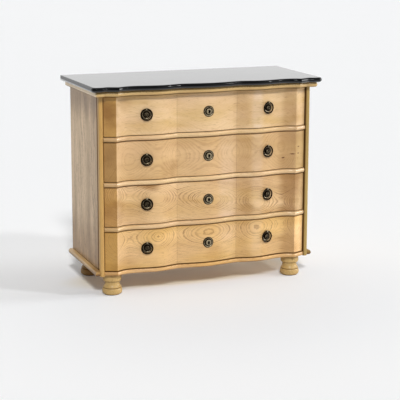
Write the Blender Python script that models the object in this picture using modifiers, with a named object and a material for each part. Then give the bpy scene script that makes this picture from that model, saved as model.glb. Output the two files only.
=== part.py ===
"""Four-drawer chest with a serpentine front, a black slab top and turned feet.

Metres, +Z up. The floor is z = 0, the front faces -Y and x = 0 is the middle.
The origin is under the middle of the slab's outline. Left and right are the
viewer's, facing the front, and drawer 1 is the top one.
"""

import math

import bmesh
import bpy
from mathutils import Matrix, Vector

# Case
CASE_WIDTH = 1.014
CASE_DEPTH = 0.440
PANEL_THICKNESS = 0.020
PILASTER_DEPTH = 0.030
PILASTER_ROUND = 0.008
BOARD_THICKNESS = 0.020
BOARD_PROUD = 0.007
BOARD_NOSE = 0.0085
GROOVE_DEPTH = 0.006
BACK_THICKNESS = 0.008
BACK_REBATE = 0.008
DRAWER_COUNT = 4
OPENING_HEIGHT = 0.180

# Front wave, measured back from the plane of the pilasters' fronts
WAVE_RISE = 0.009
RIDGE_RISE = 0.0113
CANT_BACK = 0.012
VALLEY_SHARE = 0.296
PEAK_SHARE = 0.493
DIP_SHARE = 0.760
RIDGE_SHARE = 0.887
SCOOP_SHARE = 0.982
CENTRE_STEPS = 4
VALLEY_STEPS = 4
WAVE_STEPS = 5
RIDGE_STEPS = 3

# Top
UNDER_TOP_THICKNESS = 0.0224
UNDER_TOP_FRONT_OVERHANG = 0.034
UNDER_TOP_SIDE_OVERHANG = 0.023
UNDER_TOP_NOSE = 0.0105
SLAB_THICKNESS = 0.022
SLAB_FRONT_OVERHANG = 0.050
SLAB_SIDE_OVERHANG = 0.041
SLAB_BACK_OVERHANG = 0.017
SLAB_NOSE = 0.0105
EAR_CORNER_SHARE = 0.6
EAR_STEPS = 4

# Base mouldings on the outer sides
BASE_MOULDING_HEIGHT = 0.0245
BASE_MOULDING_DEPTH = 0.0207
BASE_MOULDING_ROUND = 0.0117
BASE_MOULDING_SETBACK = 0.005

# Feet
FOOT_HEIGHT = 0.095
FOOT_RADIUS = 0.0445
FOOT_INSET_SIDE = 0.068
FOOT_INSET_FRONT = 0.050
FOOT_INSET_BACK = 0.052
SPIGOT_RADIUS = 0.012
SPIGOT_LENGTH = 0.015
FOOT_SEGMENTS = 16
# Height and radius of each turned point, as shares of the foot's own
FOOT_PROFILE_SHARES = (
    (1.00, 0.920), (0.80, 0.937), (0.675, 0.900), (0.650, 0.800), (0.590, 0.755),
    (0.500, 0.755), (0.400, 0.860), (0.355, 0.925), (0.335, 0.900), (0.315, 0.930),
    (0.170, 1.000), (0.070, 0.960), (0.040, 0.820), (0.0, 0.800),
)

# Drawers
FRONT_SIDE_GAP = 0.0025
FRONT_TOP_GAP = 0.002
FRONT_BACK_PLANE = 0.032
SIDE_GAP = 0.003
SIDE_THICKNESS = 0.012
SIDE_HEIGHT = 0.150
DRAWER_REAR_GAP = 0.002
DRAWER_BACK_THICKNESS = 0.012
DRAWER_BACK_DROP = 0.010
BOTTOM_THICKNESS = 0.006
BOTTOM_RISE = 0.010
BOTTOM_TONGUE = 0.005
TAIL_COUNT = 4
TAIL_LENGTH = 0.012
TAIL_ROOT_SHARE = 0.50
TAIL_TIP_SHARE = 0.66

# Pulls and escutcheons
PULL_SHARE = 0.598
PULL_RISE = 0.093
METAL_SEGMENTS = 16
PLATE_RADIUS = 0.0215
PLATE_HEIGHT = 0.0100
SEAT_DEPTH = 0.0012
RING_RADIUS = 0.0246
RING_WIRE_RADIUS = 0.0032
RING_SEGMENTS = 18
RING_WIRE_SEGMENTS = 6
RING_STANDOFF = 0.0070
EYE_SEGMENTS = 10
EYE_WALL = 0.0016
EYE_WIDTH = 0.0070
EYE_CLEARANCE = 0.0007
ESCUTCHEON_RADIUS = 0.0250
ESCUTCHEON_HEIGHT = 0.0080
KEYHOLE_RADIUS = 0.0038
KEYHOLE_SLOT_WIDTH = 0.0054
KEYHOLE_SLOT_LENGTH = 0.0120
KEYHOLE_DEPTH = 0.0050
# Radius and height of each turned point, as shares of the plate's own
PLATE_PROFILE_SHARES = (
    (0.14, 1.00), (0.30, 0.92), (0.42, 0.68), (0.46, 0.30), (0.70, 0.24),
    (0.82, 0.39), (0.93, 0.39), (1.00, 0.20), (1.00, 0.0),
)
ESCUTCHEON_PROFILE_SHARES = (
    (0.38, 1.00), (0.48, 0.88), (0.52, 0.30), (0.68, 0.28), (0.82, 0.44),
    (0.94, 0.42), (1.00, 0.20), (1.00, 0.0),
)

# Shared allowances
SEAT_GAP = 0.0003
OVERRUN = 0.010
WELD = 0.00001
SHARP_ANGLE = math.radians(35)
NOSE_SEGMENTS = 3
BOARD_NOSE_SEGMENTS = 2

# Places worked out from the sizes above
CASE_HALF = CASE_WIDTH / 2
INNER_HALF = CASE_HALF - PANEL_THICKNESS
SLAB_BACK = CASE_DEPTH + SLAB_BACK_OVERHANG
SLAB_FRONT = -RIDGE_RISE - SLAB_FRONT_OVERHANG
FRONT_PLANE_Y = -(SLAB_BACK + SLAB_FRONT) / 2
DRAWER_PITCH = OPENING_HEIGHT + BOARD_THICKNESS
BASE_TOP = FOOT_HEIGHT + BOARD_THICKNESS
CASE_TOP = FOOT_HEIGHT + DRAWER_COUNT * DRAWER_PITCH
UNDER_TOP_Z = CASE_TOP + SEAT_GAP
SLAB_Z = UNDER_TOP_Z + UNDER_TOP_THICKNESS + SEAT_GAP
BACK_FRONT = CASE_DEPTH - BACK_THICKNESS
FRONT_HALF = INNER_HALF - FRONT_SIDE_GAP
SIDE_OUTER = INNER_HALF - SIDE_GAP
SIDE_INNER = SIDE_OUTER - SIDE_THICKNESS
DRAWER_REAR = BACK_FRONT - DRAWER_REAR_GAP
DRAWER_BACK_FRONT = DRAWER_REAR - DRAWER_BACK_THICKNESS
BOTTOM_HALF = SIDE_INNER + BOTTOM_TONGUE - SEAT_GAP
PULL_X = PULL_SHARE * INNER_HALF

PARTS = "serpentine_chest"
CUTTERS = "serpentine_chest_cutters"


def new_collection(name):
    """Add a collection to the scene and return it."""
    collection = bpy.data.collections.new(name)
    bpy.context.scene.collection.children.link(collection)
    return collection


def new_material(name, colour, roughness, metallic=0.0):
    """Return a Principled material of one colour."""
    material = bpy.data.materials.new(name)
    material.use_nodes = True
    shader = material.node_tree.nodes["Principled BSDF"]
    shader.inputs["Base Color"].default_value = (*colour, 1.0)
    shader.inputs["Roughness"].default_value = roughness
    shader.inputs["Metallic"].default_value = metallic
    return material


def add_part(name, mesh, material, location=(0, 0, 0), rotation_z=0.0, parent=None):
    """Link one finished piece, smooth shaded, at a place in its parent's frame."""
    own = mesh.copy()
    own.name = name
    own.materials.clear()
    own.materials.append(material.copy())
    own.materials[0].name = name
    own.shade_smooth()
    own.set_sharp_from_angle(angle=SHARP_ANGLE)
    part = bpy.data.objects.new(name, own)
    bpy.data.collections[PARTS].objects.link(part)
    part.location = location
    part.rotation_euler = (0, 0, rotation_z)
    part.parent = parent
    return part


def add_pivot(name, location, parent=None):
    """Link an empty that stands on a joint's axis."""
    pivot = bpy.data.objects.new(name, None)
    bpy.data.collections[PARTS].objects.link(pivot)
    pivot.location = location
    pivot.parent = parent
    return pivot


def mesh_from_bmesh(name, form):
    """Turn a bmesh into a mesh with its faces pointing out."""
    bmesh.ops.recalc_face_normals(form, faces=form.faces)
    mesh = bpy.data.meshes.new(name)
    form.to_mesh(mesh)
    form.free()
    return mesh


def box_mesh(name, low, high):
    """Return a box between two corners."""
    form = bmesh.new()
    bmesh.ops.create_cube(form, size=1)
    size = Vector(high) - Vector(low)
    centre = (Vector(high) + Vector(low)) / 2
    bmesh.ops.scale(form, vec=size, verts=form.verts)
    bmesh.ops.translate(form, vec=centre, verts=form.verts)
    return mesh_from_bmesh(name, form)


def cylinder_mesh(name, radius, depth, segments, matrix):
    """Return a cylinder along its own Z, centred, then placed by the matrix."""
    form = bmesh.new()
    bmesh.ops.create_cone(
        form, cap_ends=True, segments=segments, radius1=radius, radius2=radius, depth=depth
    )
    bmesh.ops.transform(form, matrix=matrix, verts=form.verts)
    return mesh_from_bmesh(name, form)


def evaluated_mesh(name, thing):
    """Return what the object's modifiers make of it, and remove the object."""
    bpy.context.view_layer.update()
    graph = bpy.context.evaluated_depsgraph_get()
    mesh = bpy.data.meshes.new_from_object(thing.evaluated_get(graph), depsgraph=graph)
    mesh.name = name
    data = thing.data
    bpy.data.objects.remove(thing)
    if isinstance(data, bpy.types.Curve):
        bpy.data.curves.remove(data)
    return mesh


def outline_mesh(name, points, thickness):
    """Extrude a flat outline upwards from z = 0, with whole faces on both ends."""
    curve = bpy.data.curves.new(name, "CURVE")
    curve.dimensions = "2D"
    curve.fill_mode = "BOTH"
    curve.extrude = thickness / 2
    spline = curve.splines.new("POLY")
    spline.points.add(len(points) - 1)
    for target, (x, y) in zip(spline.points, points):
        target.co = (x, y, 0, 1)
    spline.use_cyclic_u = True
    holder = bpy.data.objects.new(name, curve)
    bpy.context.scene.collection.objects.link(holder)
    mesh = evaluated_mesh(name, holder)
    form = bmesh.new()
    form.from_mesh(mesh)
    bpy.data.meshes.remove(mesh)
    bmesh.ops.remove_doubles(form, verts=form.verts, dist=WELD)
    bmesh.ops.dissolve_limit(
        form, angle_limit=math.radians(0.05), verts=form.verts, edges=form.edges
    )
    bmesh.ops.translate(form, vec=(0, 0, thickness / 2), verts=form.verts)
    return mesh_from_bmesh(name, form)


def turned_mesh(name, profile, segments):
    """Turn a profile of (radius, height) points, listed from the top down, about Z."""
    form = bmesh.new()
    corners = [form.verts.new((radius, 0, height)) for radius, height in profile]
    for first, second in zip(corners, corners[1:]):
        form.edges.new((first, second))
    mesh = bpy.data.meshes.new(name)
    form.to_mesh(mesh)
    form.free()
    holder = bpy.data.objects.new(name, mesh)
    bpy.context.scene.collection.objects.link(holder)
    screw = holder.modifiers.new("Screw", "SCREW")
    screw.axis = "Z"
    screw.angle = math.tau
    screw.steps = segments
    screw.render_steps = segments
    screw.use_merge_vertices = True
    screw.merge_threshold = WELD
    turned = evaluated_mesh(name, holder)
    form = bmesh.new()
    form.from_mesh(turned)
    bpy.data.meshes.remove(turned)
    return mesh_from_bmesh(name, form)


def combined(mesh, cutter_mesh, operation="DIFFERENCE"):
    """Cut a mesh by another, or join the two, and return the solid that is left."""
    body = bpy.data.objects.new(mesh.name, mesh)
    tool = bpy.data.objects.new(mesh.name + "_cutter", cutter_mesh)
    bpy.context.scene.collection.objects.link(body)
    bpy.data.collections[CUTTERS].objects.link(tool)
    tool.hide_render = True
    tool.display_type = "WIRE"
    step = body.modifiers.new("Boolean", "BOOLEAN")
    step.operation = operation
    step.solver = "EXACT"
    step.object = tool
    result = evaluated_mesh(mesh.name, body)
    bpy.data.objects.remove(tool)
    return result


def with_rounded_edges(mesh, chosen, width, segments):
    """Round the edges that chosen(edge) picks."""
    form = bmesh.new()
    form.from_mesh(mesh)
    edges = [edge for edge in form.edges if chosen(edge)]
    bmesh.ops.bevel(
        form, geom=edges, offset=width, segments=segments, profile=0.5,
        affect="EDGES", offset_type="OFFSET", clamp_overlap=True,
    )
    return mesh_from_bmesh(mesh.name, form)


def face_line(x):
    """Return y of the drawers' wavy face at x, behind the pilasters' front plane.

    From the middle out: a bow, a valley crease, a peak, a dip, a ridge crease
    and a straight cant back to the pilaster.
    """
    across = abs(x) / INNER_HALF
    if across <= VALLEY_SHARE:
        return 2 * WAVE_RISE * swell(across / VALLEY_SHARE) - WAVE_RISE
    if across <= PEAK_SHARE:
        return 2 * WAVE_RISE * swell((PEAK_SHARE - across) / (PEAK_SHARE - VALLEY_SHARE)) - WAVE_RISE
    if across <= DIP_SHARE:
        return -WAVE_RISE * math.cos(math.pi * (across - PEAK_SHARE) / (DIP_SHARE - PEAK_SHARE))
    if across <= RIDGE_SHARE:
        along = (across - DIP_SHARE) / (RIDGE_SHARE - DIP_SHARE)
        return WAVE_RISE - (WAVE_RISE + RIDGE_RISE) * along ** 2
    along = (across - RIDGE_SHARE) / (1 - RIDGE_SHARE)
    return (RIDGE_RISE + CANT_BACK) * along - RIDGE_RISE


def swell(along):
    """Rise from 0 to 1, half as a parabola and half as a cosine."""
    return (along ** 2 + (1 - math.cos(math.pi * along)) / 2) / 2


def face_slope(x):
    """Return the angle by which the drawers' face turns at x."""
    step = INNER_HALF * 0.001
    rise = face_line(x + step) - face_line(x - step)
    return math.atan2(rise, 2 * step)


def wave_places(last_share):
    """Return the x of the wave's points on the right half, from the middle out."""
    stations = (
        (0, VALLEY_SHARE, CENTRE_STEPS),
        (VALLEY_SHARE, PEAK_SHARE, VALLEY_STEPS),
        (PEAK_SHARE, DIP_SHARE, WAVE_STEPS),
        (DIP_SHARE, RIDGE_SHARE, RIDGE_STEPS),
        (RIDGE_SHARE, last_share, 1),
    )
    places = [0.0]
    for start, end, steps in stations:
        for index in range(1, steps + 1):
            places.append((start + (end - start) * index / steps) * INNER_HALF)
    return places


def mirrored(right_half):
    """Return a whole outline from its right half, which starts and ends near x = 0."""
    left_half = [(-x, y) for x, y in reversed(right_half) if x > WELD]
    return right_half + left_half


def eared_outline(front_overhang, side_overhang, back):
    """Return the top's outline: the wave, a scoop, and an ear round each pilaster."""
    right = [(x, face_line(x) - front_overhang) for x in wave_places(SCOOP_SHARE)]
    scoop_x, scoop_y = right[-1]
    ear_y = -front_overhang
    for index in range(1, EAR_STEPS + 1):
        along = index / EAR_STEPS
        rise = (1 - math.cos(math.pi * along)) / 2
        right.append((scoop_x + (CASE_HALF - scoop_x) * along, scoop_y + (ear_y - scoop_y) * rise))
    corner = EAR_CORNER_SHARE * side_overhang
    half = CASE_HALF + side_overhang
    for index in range(EAR_STEPS + 1):
        turn = math.pi / 2 * index / EAR_STEPS
        right.append((half - corner + corner * math.sin(turn), ear_y + corner - corner * math.cos(turn)))
    right.append((half, back))
    return [(x, y + FRONT_PLANE_Y) for x, y in mirrored(right)]


def on_rear_face(edge, rear):
    """Say whether both ends of an edge lie on the rear plane."""
    return all(abs(vert.co.y - rear) < WELD for vert in edge.verts)


def is_level(edge):
    """Say whether an edge lies in a level plane."""
    return abs(edge.verts[0].co.z - edge.verts[1].co.z) < WELD


def make_top(name, outline, thickness, nose, height, back, material):
    """Make an eared board with its front and sides rounded."""
    rear = back + FRONT_PLANE_Y
    board = outline_mesh(name, outline, thickness)
    board = with_rounded_edges(
        board, lambda edge: is_level(edge) and not on_rear_face(edge, rear), nose, NOSE_SEGMENTS
    )
    return add_part(name, board, material, location=(0, 0, height))


def board_outline():
    """Return a dust board's outline: wavy nose, then a tongue in each side's groove.

    Each tongue's shoulder leans back a little, so that only its inner corner bears.
    """
    nose_half = INNER_HALF - SEAT_GAP
    right = [(x, face_line(x) - BOARD_PROUD) for x in wave_places(nose_half / INNER_HALF)]
    tongue_half = INNER_HALF + GROOVE_DEPTH - SEAT_GAP
    tongue_y = PILASTER_DEPTH + 2 * SEAT_GAP
    shoulder_y = tongue_y + SEAT_GAP
    right += [(nose_half, tongue_y), (tongue_half, shoulder_y), (tongue_half, BACK_FRONT - SEAT_GAP)]
    return [(x, y + FRONT_PLANE_Y) for x, y in mirrored(right)]


def board_mesh():
    """Make a dust board with its nose rounded."""
    nose_limit = FRONT_PLANE_Y + CANT_BACK
    half = INNER_HALF

    def on_nose(edge):
        forward = all(vert.co.y < nose_limit for vert in edge.verts)
        across = any(abs(vert.co.x) < half - WELD for vert in edge.verts)
        same_side = abs(edge.verts[0].co.x - edge.verts[1].co.x) < WELD
        return is_level(edge) and forward and across and not same_side

    return with_rounded_edges(
        outline_mesh("board", board_outline(), BOARD_THICKNESS),
        on_nose, BOARD_NOSE, BOARD_NOSE_SEGMENTS,
    )


def board_height(index):
    """Return the underside of board number index, with the base board as 0."""
    return FOOT_HEIGHT + index * DRAWER_PITCH


def foot_places():
    """Return the name and centre of each foot."""
    across = CASE_HALF - FOOT_INSET_SIDE
    rows = (("front", FOOT_INSET_FRONT), ("rear", CASE_DEPTH - FOOT_INSET_BACK))
    places = []
    for row, y in rows:
        for side, sign in (("left", -1), ("right", 1)):
            places.append((f"foot_{row}_{side}", (sign * across, y + FRONT_PLANE_Y, 0)))
    return places


def make_boards(material):
    """Make the base board and the dividers between the drawers."""
    plain = board_mesh()
    base = plain.copy()
    hole_depth = SPIGOT_LENGTH + SEAT_GAP
    for _, (x, y, _) in foot_places():
        place = Matrix.Translation((x, y, (hole_depth - OVERRUN) / 2))
        hole = cylinder_mesh(
            "hole", SPIGOT_RADIUS + SEAT_GAP, hole_depth + OVERRUN, FOOT_SEGMENTS, place
        )
        base = combined(base, hole)
    add_part("base_board", base, material, location=(0, 0, board_height(0)))
    for index, name in enumerate(("divider_lower", "divider_middle", "divider_upper"), start=1):
        add_part(name, plain, material, location=(0, 0, board_height(index)))


def side_panel_mesh():
    """Make the right side panel, with grooves for the boards and a rebate for the back."""
    front = PILASTER_DEPTH + SEAT_GAP
    panel = box_mesh(
        "side_panel",
        (INNER_HALF, front + FRONT_PLANE_Y, FOOT_HEIGHT),
        (CASE_HALF, CASE_DEPTH + FRONT_PLANE_Y, CASE_TOP),
    )
    inside = INNER_HALF - OVERRUN
    groove_floor = INNER_HALF + GROOVE_DEPTH
    for index in range(DRAWER_COUNT):
        low = board_height(index) - SEAT_GAP
        if index == 0:
            low -= OVERRUN
        high = board_height(index) + BOARD_THICKNESS + SEAT_GAP
        groove = box_mesh(
            "groove",
            (inside, front + FRONT_PLANE_Y - OVERRUN, low),
            (groove_floor, CASE_DEPTH + FRONT_PLANE_Y + OVERRUN, high),
        )
        panel = combined(panel, groove)
    rebate = box_mesh(
        "rebate",
        (inside, BACK_FRONT - SEAT_GAP + FRONT_PLANE_Y, FOOT_HEIGHT - OVERRUN),
        (INNER_HALF + BACK_REBATE, CASE_DEPTH + FRONT_PLANE_Y + OVERRUN, CASE_TOP + OVERRUN),
    )
    return combined(panel, rebate)


def mirrored_mesh(mesh):
    """Return the mesh mirrored across x = 0."""
    form = bmesh.new()
    form.from_mesh(mesh)
    bmesh.ops.scale(form, vec=(-1, 1, 1), verts=form.verts)
    bmesh.ops.reverse_faces(form, faces=form.faces)
    return mesh_from_bmesh(mesh.name, form)


def make_sides(material):
    """Make the side panels, pilasters and base mouldings, each as a mirrored pair."""
    pilaster = with_rounded_edges(
        box_mesh(
            "pilaster",
            (INNER_HALF, FRONT_PLANE_Y, FOOT_HEIGHT),
            (CASE_HALF, FRONT_PLANE_Y + PILASTER_DEPTH, CASE_TOP),
        ),
        lambda edge: not is_level(edge) and on_rear_face(edge, FRONT_PLANE_Y),
        PILASTER_ROUND,
        NOSE_SEGMENTS,
    )
    moulding_inner = CASE_HALF + SEAT_GAP
    moulding = with_rounded_edges(
        box_mesh(
            "base_moulding",
            (moulding_inner, FRONT_PLANE_Y + BASE_MOULDING_SETBACK, FOOT_HEIGHT),
            (
                moulding_inner + BASE_MOULDING_DEPTH,
                FRONT_PLANE_Y + CASE_DEPTH,
                FOOT_HEIGHT + BASE_MOULDING_HEIGHT,
            ),
        ),
        lambda edge: is_level(edge) and edge_is_outer(edge, moulding_inner),
        BASE_MOULDING_ROUND,
        NOSE_SEGMENTS,
    )
    pairs = (("side_panel", side_panel_mesh()), ("pilaster", pilaster), ("base_moulding", moulding))
    for name, mesh in pairs:
        add_part(f"{name}_right", mesh, material)
        add_part(f"{name}_left", mirrored_mesh(mesh), material)


def edge_is_outer(edge, inner):
    """Say whether an edge runs along the outer face or the front end of a side moulding."""
    rear = FRONT_PLANE_Y + CASE_DEPTH
    off_wall = any(vert.co.x > inner + WELD for vert in edge.verts)
    return off_wall and not on_rear_face(edge, rear)


def make_back(material):
    """Make the thin back panel that lies in the sides' rebates."""
    half = INNER_HALF + BACK_REBATE - SEAT_GAP
    panel = box_mesh(
        "back_panel",
        (-half, BACK_FRONT + FRONT_PLANE_Y, FOOT_HEIGHT),
        (half, CASE_DEPTH + FRONT_PLANE_Y, CASE_TOP),
    )
    add_part("back_panel", panel, material)


def make_feet(material):
    """Make the four turned feet, each with a spigot that enters the base board."""
    top = FOOT_HEIGHT - SEAT_GAP
    profile = [(0, FOOT_HEIGHT + SPIGOT_LENGTH - SEAT_GAP)]
    profile += [(SPIGOT_RADIUS, FOOT_HEIGHT + SPIGOT_LENGTH - SEAT_GAP), (SPIGOT_RADIUS, top)]
    profile += [(radius * FOOT_RADIUS, height * top) for height, radius in FOOT_PROFILE_SHARES]
    profile.append((0, 0))
    foot = turned_mesh("foot", profile, FOOT_SEGMENTS)
    for name, place in foot_places():
        add_part(name, foot, material, location=place)


def tail_outline(clearance, root_overrun):
    """Return the (y, z) corners of one side's tails, from the bottom tail up."""
    pitch = SIDE_HEIGHT / TAIL_COUNT
    root = pitch * TAIL_ROOT_SHARE / 2 + clearance
    tip = pitch * TAIL_TIP_SHARE / 2 + clearance
    root_y = FRONT_BACK_PLANE + SEAT_GAP + root_overrun
    tip_y = FRONT_BACK_PLANE - TAIL_LENGTH - clearance
    tails = []
    for index in range(TAIL_COUNT):
        middle = pitch * (index + 0.5)
        tails.append([
            (root_y, middle - root), (tip_y, middle - tip), (tip_y, middle + tip), (root_y, middle + root)
        ])
    return tails


def upright_mesh(name, points, thickness):
    """Extrude a (y, z) outline across x, from x = 0 to the thickness."""
    mesh = outline_mesh(name, points, thickness)
    mesh.transform(Matrix(((0, 0, 1, 0), (1, 0, 0, 0), (0, 1, 0, 0), (0, 0, 0, 1))))
    return mesh


def drawer_side_mesh():
    """Make the right side of a drawer, tailed at the front and grooved for the bottom.

    Its frame has z = 0 at the side's lower edge.
    """
    front = FRONT_BACK_PLANE + SEAT_GAP
    outline = [(front, 0)]
    for tail in tail_outline(0, 0):
        outline += tail
    outline += [(front, SIDE_HEIGHT), (DRAWER_REAR, SIDE_HEIGHT), (DRAWER_REAR, 0)]
    side = upright_mesh("drawer_side", outline, SIDE_THICKNESS)
    side.transform(Matrix.Translation((SIDE_INNER, 0, 0)))
    groove = box_mesh(
        "groove",
        (SIDE_INNER - OVERRUN, front - TAIL_LENGTH - OVERRUN, BOTTOM_RISE - SEAT_GAP),
        (SIDE_INNER + BOTTOM_TONGUE, DRAWER_REAR + OVERRUN, BOTTOM_RISE + BOTTOM_THICKNESS + SEAT_GAP),
    )
    return combined(side, groove)


def front_rise():
    """Return how far the front's lower edge is above the sides' lower edge."""
    return FRONT_TOP_GAP - SEAT_GAP


def drawer_front_mesh():
    """Make a drawer front: wavy face, tail sockets, bottom groove and metalwork seats.

    Its frame has z = 0 at the sides' lower edge.
    """
    height = OPENING_HEIGHT - 2 * FRONT_TOP_GAP
    right = [(x, face_line(x)) for x in wave_places(FRONT_HALF / INNER_HALF)]
    right.append((FRONT_HALF, FRONT_BACK_PLANE))
    front = outline_mesh("drawer_front", mirrored(right), height)
    front.transform(Matrix.Translation((0, 0, front_rise())))
    for tail in tail_outline(SEAT_GAP, OVERRUN):
        socket = upright_mesh("socket", tail, FRONT_HALF - SIDE_INNER + SEAT_GAP + OVERRUN)
        socket.transform(Matrix.Translation((SIDE_INNER - SEAT_GAP, 0, 0)))
        front = combined(front, socket)
        front = combined(front, mirrored_mesh(socket))
    groove = box_mesh(
        "groove",
        (-BOTTOM_HALF - SEAT_GAP, FRONT_BACK_PLANE - BOTTOM_TONGUE, BOTTOM_RISE - SEAT_GAP),
        (
            BOTTOM_HALF + SEAT_GAP,
            FRONT_BACK_PLANE + OVERRUN,
            BOTTOM_RISE + BOTTOM_THICKNESS + SEAT_GAP,
        ),
    )
    front = combined(front, groove)
    for x, radius in ((-PULL_X, PLATE_RADIUS), (0, ESCUTCHEON_RADIUS), (PULL_X, PLATE_RADIUS)):
        depth = SEAT_DEPTH + OVERRUN
        place = seat_matrix(x) @ Matrix.Translation((0, 0, (OVERRUN - SEAT_DEPTH) / 2))
        seat = cylinder_mesh("seat", radius + SEAT_GAP, depth, METAL_SEGMENTS, place)
        front = combined(front, seat)
    return front


def metal_height():
    """Return the height of the pulls and escutcheons above the sides' lower edge."""
    return PULL_RISE - SEAT_GAP


def seat_matrix(x):
    """Return the frame of a metal plate's seat at x: X across, Y up, Z out of the face."""
    place = Matrix.Translation((x, face_line(x), metal_height()))
    return place @ Matrix.Rotation(face_slope(x), 4, "Z") @ Matrix.Rotation(math.pi / 2, 4, "X")


def plate_profile(shares, radius, height):
    """Return a metal plate's turned profile, from its middle out and back to the seat."""
    profile = [(0, height)]
    profile += [(share * radius, rise * height) for share, rise in shares]
    profile.append((0, 0))
    return profile


def eye_place():
    """Return the middle of the eye in its plate's frame."""
    return Vector((0, RING_RADIUS, RING_STANDOFF + SEAT_DEPTH - SEAT_GAP))


def pull_plate_mesh():
    """Make a pull's plate with the eye that carries its ring, facing +Z."""
    plate = turned_mesh(
        "plate", plate_profile(PLATE_PROFILE_SHARES, PLATE_RADIUS, PLATE_HEIGHT), METAL_SEGMENTS
    )
    centre = eye_place()
    hole_radius = RING_WIRE_RADIUS + EYE_CLEARANCE
    outer_radius = hole_radius + EYE_WALL
    across = Matrix.Translation(centre) @ Matrix.Rotation(math.pi / 2, 4, "Y")
    eye = cylinder_mesh("eye", outer_radius, EYE_WIDTH, EYE_SEGMENTS, across)
    neck = box_mesh(
        "neck",
        (-EYE_WIDTH / 2, centre.y - outer_radius, SEAT_DEPTH),
        (EYE_WIDTH / 2, centre.y + hole_radius, centre.z),
    )
    hole = cylinder_mesh("hole", hole_radius, EYE_WIDTH + OVERRUN, EYE_SEGMENTS, across)
    plate = combined(plate, neck, "UNION")
    plate = combined(plate, eye, "UNION")
    return combined(plate, hole)


def ring_mesh():
    """Make a pull's ring, hanging from its own origin, facing +Z."""
    bpy.ops.mesh.primitive_torus_add(
        major_radius=RING_RADIUS,
        minor_radius=RING_WIRE_RADIUS,
        major_segments=RING_SEGMENTS,
        minor_segments=RING_WIRE_SEGMENTS,
    )
    ring = bpy.context.object
    mesh = ring.data
    bpy.data.objects.remove(ring)
    mesh.transform(Matrix.Translation((0, -RING_RADIUS, 0)))
    return mesh


def escutcheon_mesh():
    """Make the key plate, with a blind keyhole, facing +Z."""
    plate = turned_mesh(
        "escutcheon",
        plate_profile(ESCUTCHEON_PROFILE_SHARES, ESCUTCHEON_RADIUS, ESCUTCHEON_HEIGHT),
        METAL_SEGMENTS,
    )
    floor = ESCUTCHEON_HEIGHT - KEYHOLE_DEPTH
    depth = KEYHOLE_DEPTH + OVERRUN
    place = Matrix.Translation((0, KEYHOLE_RADIUS, floor + depth / 2))
    bow = cylinder_mesh("bow", KEYHOLE_RADIUS, depth, EYE_SEGMENTS, place)
    slot = box_mesh(
        "slot",
        (-KEYHOLE_SLOT_WIDTH / 2, KEYHOLE_RADIUS - KEYHOLE_SLOT_LENGTH, floor),
        (KEYHOLE_SLOT_WIDTH / 2, KEYHOLE_RADIUS, floor + depth),
    )
    return combined(plate, combined(bow, slot, "UNION"))


def make_drawers(wood, inner_wood, metal):
    """Make the four drawers, each parented to an empty on its sliding axis."""
    front = drawer_front_mesh()
    side = drawer_side_mesh()
    back = box_mesh(
        "drawer_back",
        (SEAT_GAP - SIDE_INNER, DRAWER_BACK_FRONT, BOTTOM_RISE + BOTTOM_THICKNESS + SEAT_GAP),
        (SIDE_INNER - SEAT_GAP, DRAWER_REAR, SIDE_HEIGHT - DRAWER_BACK_DROP),
    )
    bottom = box_mesh(
        "drawer_bottom",
        (-BOTTOM_HALF, FRONT_BACK_PLANE - BOTTOM_TONGUE + SEAT_GAP, BOTTOM_RISE),
        (BOTTOM_HALF, DRAWER_REAR, BOTTOM_RISE + BOTTOM_THICKNESS),
    )
    boards = (
        ("front", front, wood),
        ("side_right", side, inner_wood),
        ("side_left", mirrored_mesh(side), inner_wood),
        ("back", back, inner_wood),
        ("bottom", bottom, inner_wood),
    )
    facing = Matrix.Rotation(math.pi / 2, 4, "X")
    plate = pull_plate_mesh()
    ring = ring_mesh()
    escutcheon = escutcheon_mesh()
    for mesh in (plate, ring, escutcheon):
        mesh.transform(facing)
    for number in range(1, DRAWER_COUNT + 1):
        lower_edge = board_height(DRAWER_COUNT - number) + BOARD_THICKNESS + SEAT_GAP
        drawer = add_pivot(f"drawer_{number}_slide", (0, FRONT_PLANE_Y, lower_edge))
        for name, mesh, material in boards:
            add_part(f"drawer_{number}_{name}", mesh, material, parent=drawer)
        sink = SEAT_DEPTH - SEAT_GAP
        seat_y = face_line(0) + sink
        add_part(
            f"drawer_{number}_escutcheon", escutcheon, metal,
            location=(0, seat_y, metal_height()), parent=drawer,
        )
        for side_name, sign in (("left", -1), ("right", 1)):
            turn = face_slope(sign * PULL_X)
            inward = Vector((-math.sin(turn), math.cos(turn), 0))
            seat = Vector((sign * PULL_X, face_line(PULL_X), metal_height())) + inward * sink
            eye = seat - inward * eye_place().z + Vector((0, 0, eye_place().y))
            add_part(
                f"drawer_{number}_pull_plate_{side_name}", plate, metal,
                location=seat, rotation_z=turn, parent=drawer,
            )
            add_part(
                f"drawer_{number}_pull_ring_{side_name}", ring, metal,
                location=eye, rotation_z=turn, parent=drawer,
            )


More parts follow.
